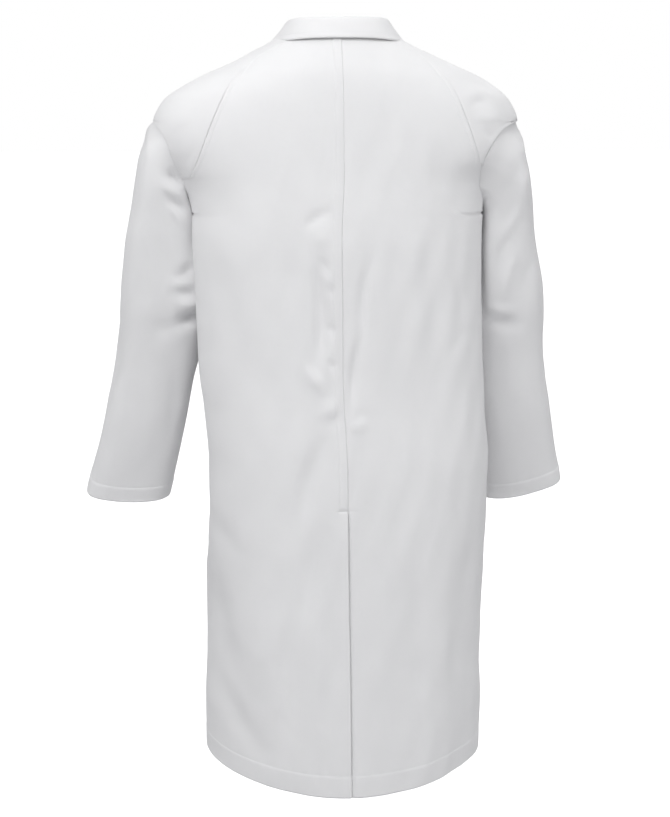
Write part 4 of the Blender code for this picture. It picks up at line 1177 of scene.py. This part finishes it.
COLLAR_ON_FRONT = [
    [(0.0800, -0.0340, 0.0040), (0.0730, -0.0290, 0.0060), (0.0700, -0.0260, 0.0100),
     (0.0780, -0.0280, 0.0120), (0.1140, -0.0450, 0.0080)],
    [(0.0860, -0.0600, 0.0040), (0.0700, -0.0500, 0.0040), (0.0655, -0.0485, 0.0075),
     (0.0720, -0.0500, 0.0105), (0.1120, -0.0570, 0.0080)],
]
COLLAR_CLOTH = 0.0009
INTERLINING = 0.0005
COLLAR_GAP = 0.0006         # room between the collar's layers
COLLAR_STEPS = 9
COLLAR_ACROSS = 10
COLLAR_TURN = 0.0032        # the top collar's edge is turned in by this much


def make_collar():
    """Under collar inside the fold, interlining in the middle, top collar wrapped round their edges."""
    half = COLLAR_ROUND_NECK + [[on_front(*place) for place in station] for station in COLLAR_ON_FRONT]
    half = np.array(half, float)
    stations = np.concatenate([half[:0:-1] * np.array((-1.0, 1.0, 1.0)), half])
    across = spline(stations, COLLAR_ACROSS)
    grid = spline(np.swapaxes(across, 0, 1), COLLAR_STEPS)
    crest, centre_back = 2 * COLLAR_STEPS, grid.shape[1] // 2
    normals = grid_normals(grid)
    if normals[crest, centre_back, 2] < 0.0:
        normals = -normals
    fall = lengths_along(grid, 0)
    from_edge = fall[-1] - fall
    sideways = lengths_along(grid, 1)
    from_end = np.minimum(sideways, sideways[:, -1:] - sideways)
    middle = COLLAR_GAP + INTERLINING
    height = middle + COLLAR_GAP + COLLAR_CLOTH
    lie = 0.0006 * ripples(sideways, fall, 0.070, 0.050, 151) * smooth_step(from_edge / 0.01)
    lie += seam_dip(from_edge - EDGE_STITCH, 0.00025, 0.0012)
    outside = grid + normals * (height + lie)[..., None]
    edge = np.minimum(from_edge, from_end)
    wrapped = COLLAR_CLOTH + (height - COLLAR_CLOTH) * smooth_step((COLLAR_TURN - edge) / 0.0020)
    inside_point = grid[crest, centre_back] + np.array((0.0, 0.010, -0.020))
    top = cloth("top_collar_cloth", outside, wrapped, COTTON, inside_point)
    attach(top, ROOT, "coat_cotton", "top_collar")
    trimmed = (slice(0, -4), slice(3, -3))
    lining = cloth("interlining_cloth", (grid + normals * middle)[trimmed], INTERLINING, FACING, inside_point)
    attach(lining, ROOT, "facing_cotton", "collar_interlining")
    under = cloth("under_collar_cloth", grid[trimmed], COLLAR_CLOTH, COTTON, inside_point)
    attach(under, ROOT, "coat_cotton", "under_collar")
    stitch_row = int(np.argmin(np.abs(from_edge[:, centre_back] - EDGE_STITCH)))
    sewn = stitch_mesh("stitches_collar", [(outside[stitch_row, 4:-4], normals[stitch_row, 4:-4])])
    attach(sewn, ROOT, "coat_cotton")


LAPEL_TOP = -0.066
LAPEL_END = {1: -0.262, -1: -0.222}     # the right lapel goes under the left one and ends higher
LAPEL_TIP_DROP = 0.020
LAPEL_LIFT = 0.0024
LAPEL_ROLL = 0.0026


def make_lapels():
    """Each lapel rolls out of the front's edge and lies flat on it, with a stitched edge."""
    across = np.concatenate([[0.0, 0.015, 0.035, 0.06, 0.10], np.linspace(0.15, 0.85, 12),
                             [0.90, 0.94, 0.97, 0.985, 1.0]])
    share = np.linspace(0.0, 1.0, 56)[:, None]
    top = LAPEL_TOP - LAPEL_TIP_DROP * across[None]
    for word, side in SIDES:
        z = top + (LAPEL_END[side] - top) * share
        inner, outer_x = measure(ROLL_LINE, z) + 0.0004, measure(LAPEL_EDGE, z)
        width = outer_x - inner
        x = inner + width * across[None]
        roll = LAPEL_ROLL * np.exp(-((across[None] * width - 0.006) / 0.009) ** 2)
        grid = on_front(x, z, LAPEL_LIFT + 0.0012 * across[None] + roll, side)
        wave = 0.0005 * ripples(x, z, 0.060, 0.090, 161 + side) * smooth_step(width / 0.02)
        grid = offset(grid, np.maximum(wave, -0.0003))
        item = cloth(f"lapel_{word}_cloth", grid, CLOTH, COTTON)
        edge_line = np.clip(1.0 - EDGE_STITCH / np.maximum(width[:, 0], 1e-4), 0.2, 1.0)
        normals = grid_normals(grid)
        stitched = range(2, len(grid) - 3)
        path, out = (np.array([along_path(edge_line[i], across, values[i]) for i in stitched])
                     for values in (grid, normals))
        sewn = sew(item, f"stitches_lapel_{word}", [(path, out)], ROOT, f"lapel_{word}")


# ---------------------------------------------------------------- pockets and buttons
# Each pocket: side, near and far edge from the middle, mouth and bottom.
POCKETS = {
    "chest_pocket": (1, 0.060, 0.165, -0.225, -0.355),
    "hip_pocket_left": (1, 0.048, 0.176, -0.500, -0.690),
    "hip_pocket_right": (-1, 0.048, 0.176, -0.500, -0.690),
}
POCKET_LIFT = 1.7 * LAYER + 0.0004
POCKET_GAPE = 0.0022        # the mouth stands off the coat by this much in the middle
CORNER_CUT = 0.014
POCKET_SHARES = np.concatenate([[0.0, 0.006, 0.014, 0.024], np.linspace(0.05, 0.95, 22),
                                [0.976, 0.986, 0.994, 1.0]])


def pocket_levels(top, bottom):
    """Heights of a pocket's rows, closer together at its mouth, at its hem's stitches and at its bottom."""
    hem = top - POCKET_HEM
    return np.concatenate([[top, top - 0.001, top - 0.003], np.linspace(top - 0.006, hem + 0.003, 5),
                           [hem + 0.001, hem, hem - 0.001], np.linspace(hem - 0.004, bottom + 0.006, 24),
                           [bottom + 0.003, bottom + 0.0015, bottom]])


def make_pockets():
    """Patch pockets with a deep stitched hem at the mouth, clipped lower corners and stitched edges."""
    bulge = np.sin(math.pi * POCKET_SHARES)[None]
    for name, (side, inner, outer_x, top, bottom) in POCKETS.items():
        width, depth = outer_x - inner, top - bottom
        z = pocket_levels(top, bottom)
        cut = CORNER_CUT * np.clip((bottom + CORNER_CUT - z) / CORNER_CUT, 0.0, 1.0)
        x = (inner + cut)[:, None] + (width - 2.0 * cut)[:, None] * POCKET_SHARES[None]
        heights = z[:, None] * np.ones_like(x)
        soft = 0.0005 * ripples(x, heights, 0.060, 0.080, 171 + side) * bulge ** 0.5
        lift = POCKET_LIFT + POCKET_GAPE * bulge * smooth_step((z - bottom) / depth)[:, None] ** 2
        lift = lift + hem_relief(top - heights, POCKET_HEM, 0.0006, 0.0004) + np.maximum(soft, -0.0002)
        if side < 0:
            lift += front_sink(x)
        grid = on_front(x, heights, lift, side)
        item = cloth(f"{name}_cloth", grid, CLOTH, COTTON)
        hem_row = int(np.argmin(np.abs(z - (top - POCKET_HEM))))
        runs = [run_along(grid, hem_row)]
        for column in (2, len(POCKET_SHARES) - 3):
            runs.append(run_along(grid, slice(0, -2), column))
        runs.append(run_along(grid, -3, slice(2, -2)))
        sewn = sew(item, f"stitches_{name}", runs, ROOT, name)


BUTTON_TURNS = 56
BUTTON_HOLE_RADIUS = 0.0011
BUTTON_HOLE_OFFSET = 0.0020
BUTTON_FACE = 0.70          # the dish's depth from the back, as a share of the button's
# The turned outline: radius and height over the back, as shares of the button's radius and depth.
BUTTON_PROFILE = [(0.0, 0.0), (0.80, 0.0), (0.93, 0.10), (1.0, 0.36), (0.985, 0.66), (0.93, 0.90),
                  (0.86, 1.0), (0.79, 0.97), (0.73, 0.84), (0.66, 0.74), (0.50, BUTTON_FACE),
                  (0.0, BUTTON_FACE)]


def button_blank():
    """Turned button without its holes: a shallow dish inside a rounded rim."""
    profile = np.array(BUTTON_PROFILE) * np.array((BUTTON_RADIUS, BUTTON_DEPTH))
    points, faces = [(0.0, 0.0, 0.0)], []
    ring = len(profile) - 2
    for k in range(BUTTON_TURNS):
        turn = 2.0 * math.pi * k / BUTTON_TURNS
        points += [(radius * math.cos(turn), -out, radius * math.sin(turn)) for radius, out in profile[1:-1]]
    points.append((0.0, -profile[-1][1], 0.0))
    for k in range(BUTTON_TURNS):
        this, following = 1 + k * ring, 1 + ((k + 1) % BUTTON_TURNS) * ring
        faces.append((0, this, following))
        faces += [(this + s, this + s + 1, following + s + 1, following + s) for s in range(ring - 1)]
        faces.append((len(points) - 1, following + ring - 1, this + ring - 1))
    mesh = bpy.data.meshes.new("button_blank")
    mesh.from_pydata(points, [], faces)
    turn_faces_outward(mesh)
    return add_object("button_blank", mesh)


def button_mesh():
    """A button with four thread holes drilled through it."""
    blank = button_blank()
    drills = []
    for x_sign in (-1, 1):
        for z_sign in (-1, 1):
            place = (x_sign * BUTTON_HOLE_OFFSET, -0.5 * BUTTON_DEPTH, z_sign * BUTTON_HOLE_OFFSET)
            bpy.ops.mesh.primitive_cylinder_add(
                vertices=20, radius=BUTTON_HOLE_RADIUS, depth=4 * BUTTON_DEPTH, location=place,
                rotation=(0.5 * math.pi, 0.0, 0.0))
            drills.append(bpy.context.object)
            cut = blank.modifiers.new("thread hole", "BOOLEAN")
            cut.operation = "DIFFERENCE"
            cut.solver = "EXACT"
            cut.object = drills[-1]
    evaluated = blank.evaluated_get(bpy.context.evaluated_depsgraph_get())
    finished = bpy.data.meshes.new_from_object(evaluated)
    for item in drills + [blank]:
        bpy.data.objects.remove(item)
    finished.materials.clear()
    finished.materials.append(PLASTIC)
    finished.shade_smooth()
    return finished


SHARP_EDGE = math.radians(35.0)


def smooth_by_angle(item):
    """Smooth shading with hard edges where the surface turns sharply, as at the thread holes."""
    shaped = bmesh.new()
    shaped.from_mesh(item.data)
    for edge in shaped.edges:
        if len(edge.link_faces) == 2 and edge.calc_face_angle() > SHARP_EDGE:
            edge.smooth = False
    shaped.to_mesh(item.data)
    shaped.free()


OUT_OF_FRONT = (0.0, -1.0, 0.0)
HOLE_START, HOLE_END = -0.003, 0.021        # the buttonhole, from the middle towards the wearer's left
HOLE_BARS = 34                              # stitches along each lip of a buttonhole
HOLE_SLIT, HOLE_LIP = 0.0004, 0.0022        # where the bars start and end, above and below the slit
END_BAR_PLACES = (-0.0036, 0.0216)


def straight_run(start, end, samples):
    """A stitch run straight from one point to another on the front."""
    share = np.linspace(0.0, 1.0, samples)[:, None]
    path = start[None] * (1.0 - share) + end[None] * share
    return path, np.repeat(np.array(OUT_OF_FRONT)[None], samples, axis=0)


def front_bar(x, low, high, lift, samples):
    """An upright run on the front between two heights."""
    return straight_run(*(on_front(np.array(x), np.array(z), lift) for z in (low, high)), samples)


def make_buttonhole(number, height):
    """A level slit between two rows of upright bars, closed by a longer bar at each end."""
    bars = []
    for sign in (-1, 1):
        for x in np.linspace(HOLE_START, HOLE_END, HOLE_BARS):
            bars.append(front_bar(x, height + sign * HOLE_SLIT, height + sign * HOLE_LIP, 0.0001, 3))
    for x in END_BAR_PLACES:
        bars.append(front_bar(x, height - HOLE_LIP, height + HOLE_LIP, 0.0002, 5))
    hole = stitch_mesh(f"buttonhole_{number}", bars, pitch=0.0018, length=0.0019, radius=0.00036)
    attach(hole, ROOT, "coat_cotton")


def make_buttons():
    """Five four-hole buttons sewn with two bars of thread, each on its stitched buttonhole."""
    shape = button_mesh()
    reach = np.array((BUTTON_HOLE_OFFSET + 0.0004, 0.0, 0.0))
    for number, height in enumerate(BUTTON_HEIGHTS, start=1):
        centre = body_surface(theta_at_x(0.0, height, front=True), height, 1) + np.array((0.0, -0.0010, 0.0))
        mesh = shape.copy()
        mesh.transform(Matrix.Translation(Vector(centre)))
        item = add_object(f"button_{number}_plastic", mesh)
        smooth_by_angle(item)
        attach(item, ROOT, "button_plastic", f"button_{number}")
        runs = []
        for sign in (-1, 1):
            for shift in (-0.0003, 0.0003):
                face = centre + np.array((0.0, -BUTTON_FACE * BUTTON_DEPTH - 0.0001,
                                          sign * BUTTON_HOLE_OFFSET + shift))
                runs.append(straight_run(face - reach, face + reach, 12))
        tied = stitch_mesh(f"thread_button_{number}", runs, pitch=0.0046, length=0.0046, radius=0.00032)
        attach(tied, ROOT, "coat_cotton")
        make_buttonhole(number, height)


# ---------------------------------------------------------------- stage, light and camera
FLOOR_HEIGHT = -1.180
CAMERA_PLACE = (0.28673, 2.93628, -0.06334)
CAMERA_AIM = (0.004, 0.0, -0.520)
CAMERA_LENS = 93.9
SENSOR_WIDTH = 36.0
STUDIO_MIDDLE = (0.0, 0.0, -0.480)
LAMPS = [
    ("key_light", (1.35, 1.85, 1.30), 1.3, 28.0),
    ("top_light", (-0.2, 0.9, 1.9), 1.2, 5.5),
    ("fill_light", (-1.8, 2.0, 0.1), 1.6, 10.5),
    ("front_light", (-1.4, -2.4, 1.2), 1.8, 14.0),
]


def seen_and_unseen(nodes, links, output, seen, unseen):
    """One shader where the camera sees the surroundings, and another where only light meets them."""
    ray = nodes.new("ShaderNodeLightPath")
    mix = nodes.new("ShaderNodeMixShader")
    links.new(ray.outputs["Is Camera Ray"], mix.inputs["Fac"])
    links.new(unseen.outputs[0], mix.inputs[1])
    links.new(seen.outputs[0], mix.inputs[2])
    links.new(mix.outputs[0], output.inputs["Surface"])


def make_floor():
    """A white floor far below the hem, which throws back less light than it shows."""
    material, nodes, links, shader = new_material("studio_floor")
    grain = object_noise(nodes, links, nodes.new("ShaderNodeTexCoord"), 3.0)
    tone_between(nodes, links, shader, grain, (0.93, 0.93, 0.93), (0.95, 0.95, 0.95))
    shader.inputs["Roughness"].default_value = 0.9
    shader.inputs["Emission Color"].default_value = (1.0, 1.0, 1.0, 1.0)
    shader.inputs["Emission Strength"].default_value = 0.62
    bounce = nodes.new("ShaderNodeBsdfDiffuse")
    bounce.inputs["Color"].default_value = (0.42, 0.42, 0.43, 1.0)
    seen_and_unseen(nodes, links, nodes["Material Output"], shader, bounce)
    bpy.ops.mesh.primitive_plane_add(size=60.0, location=(0.0, 0.0, FLOOR_HEIGHT))
    floor = bpy.context.object
    floor.name = "studio_floor"
    floor.data.materials.append(material)


def make_world():
    """White surroundings as the camera sees them, and dimmer light from them, brighter from above."""
    world = bpy.data.worlds.new("studio")
    world.use_nodes = True
    nodes, links = world.node_tree.nodes, world.node_tree.links
    nodes.clear()
    seen = nodes.new("ShaderNodeBackground")
    seen.inputs["Color"].default_value = (1.0, 1.0, 1.0, 1.0)
    spot = nodes.new("ShaderNodeTexCoord")
    parts = nodes.new("ShaderNodeSeparateXYZ")
    links.new(spot.outputs["Generated"], parts.inputs[0])
    rise = nodes.new("ShaderNodeMapRange")
    for socket, value in (("From Min", -0.4), ("From Max", 0.8), ("To Min", 0.36), ("To Max", 0.74)):
        rise.inputs[socket].default_value = value
    links.new(parts.outputs[2], rise.inputs["Value"])
    glow = nodes.new("ShaderNodeBackground")
    glow.inputs["Color"].default_value = (0.985, 0.99, 1.0, 1.0)
    links.new(rise.outputs["Result"], glow.inputs["Strength"])
    seen_and_unseen(nodes, links, nodes.new("ShaderNodeOutputWorld"), seen, glow)
    bpy.context.scene.world = world


def aim(item, place, target):
    """Put a light or the camera at a place and turn it to the target."""
    item.location = place
    item.rotation_mode = "QUATERNION"
    item.rotation_quaternion = (Vector(target) - Vector(place)).to_track_quat("-Z", "Y")


def make_lights():
    """Soft square lamps: the key from the wearer's left, a fill from the right, one above, one in front."""
    for name, place, size, power in LAMPS:
        data = bpy.data.lights.new(name, "AREA")
        data.shape = "SQUARE"
        data.size = size
        data.energy = power
        aim(add_object(name, data), place, STUDIO_MIDDLE)


def make_camera():
    """A long lens behind the coat, a little to one side and above its middle."""
    data = bpy.data.cameras.new("camera")
    data.lens = CAMERA_LENS
    data.sensor_width = SENSOR_WIDTH
    camera = add_object("camera", data)
    aim(camera, CAMERA_PLACE, CAMERA_AIM)
    bpy.context.scene.camera = camera
    bpy.context.scene.view_settings.view_transform = "Standard"


make_camera()
make_world()
make_lights()
make_floor()
make_back()
make_front()
make_caps()
make_sleeves()
make_neck_inside()
make_hanger_loop()
make_collar()
make_lapels()
make_pockets()
make_buttons()

bpy.context.view_layer.update()
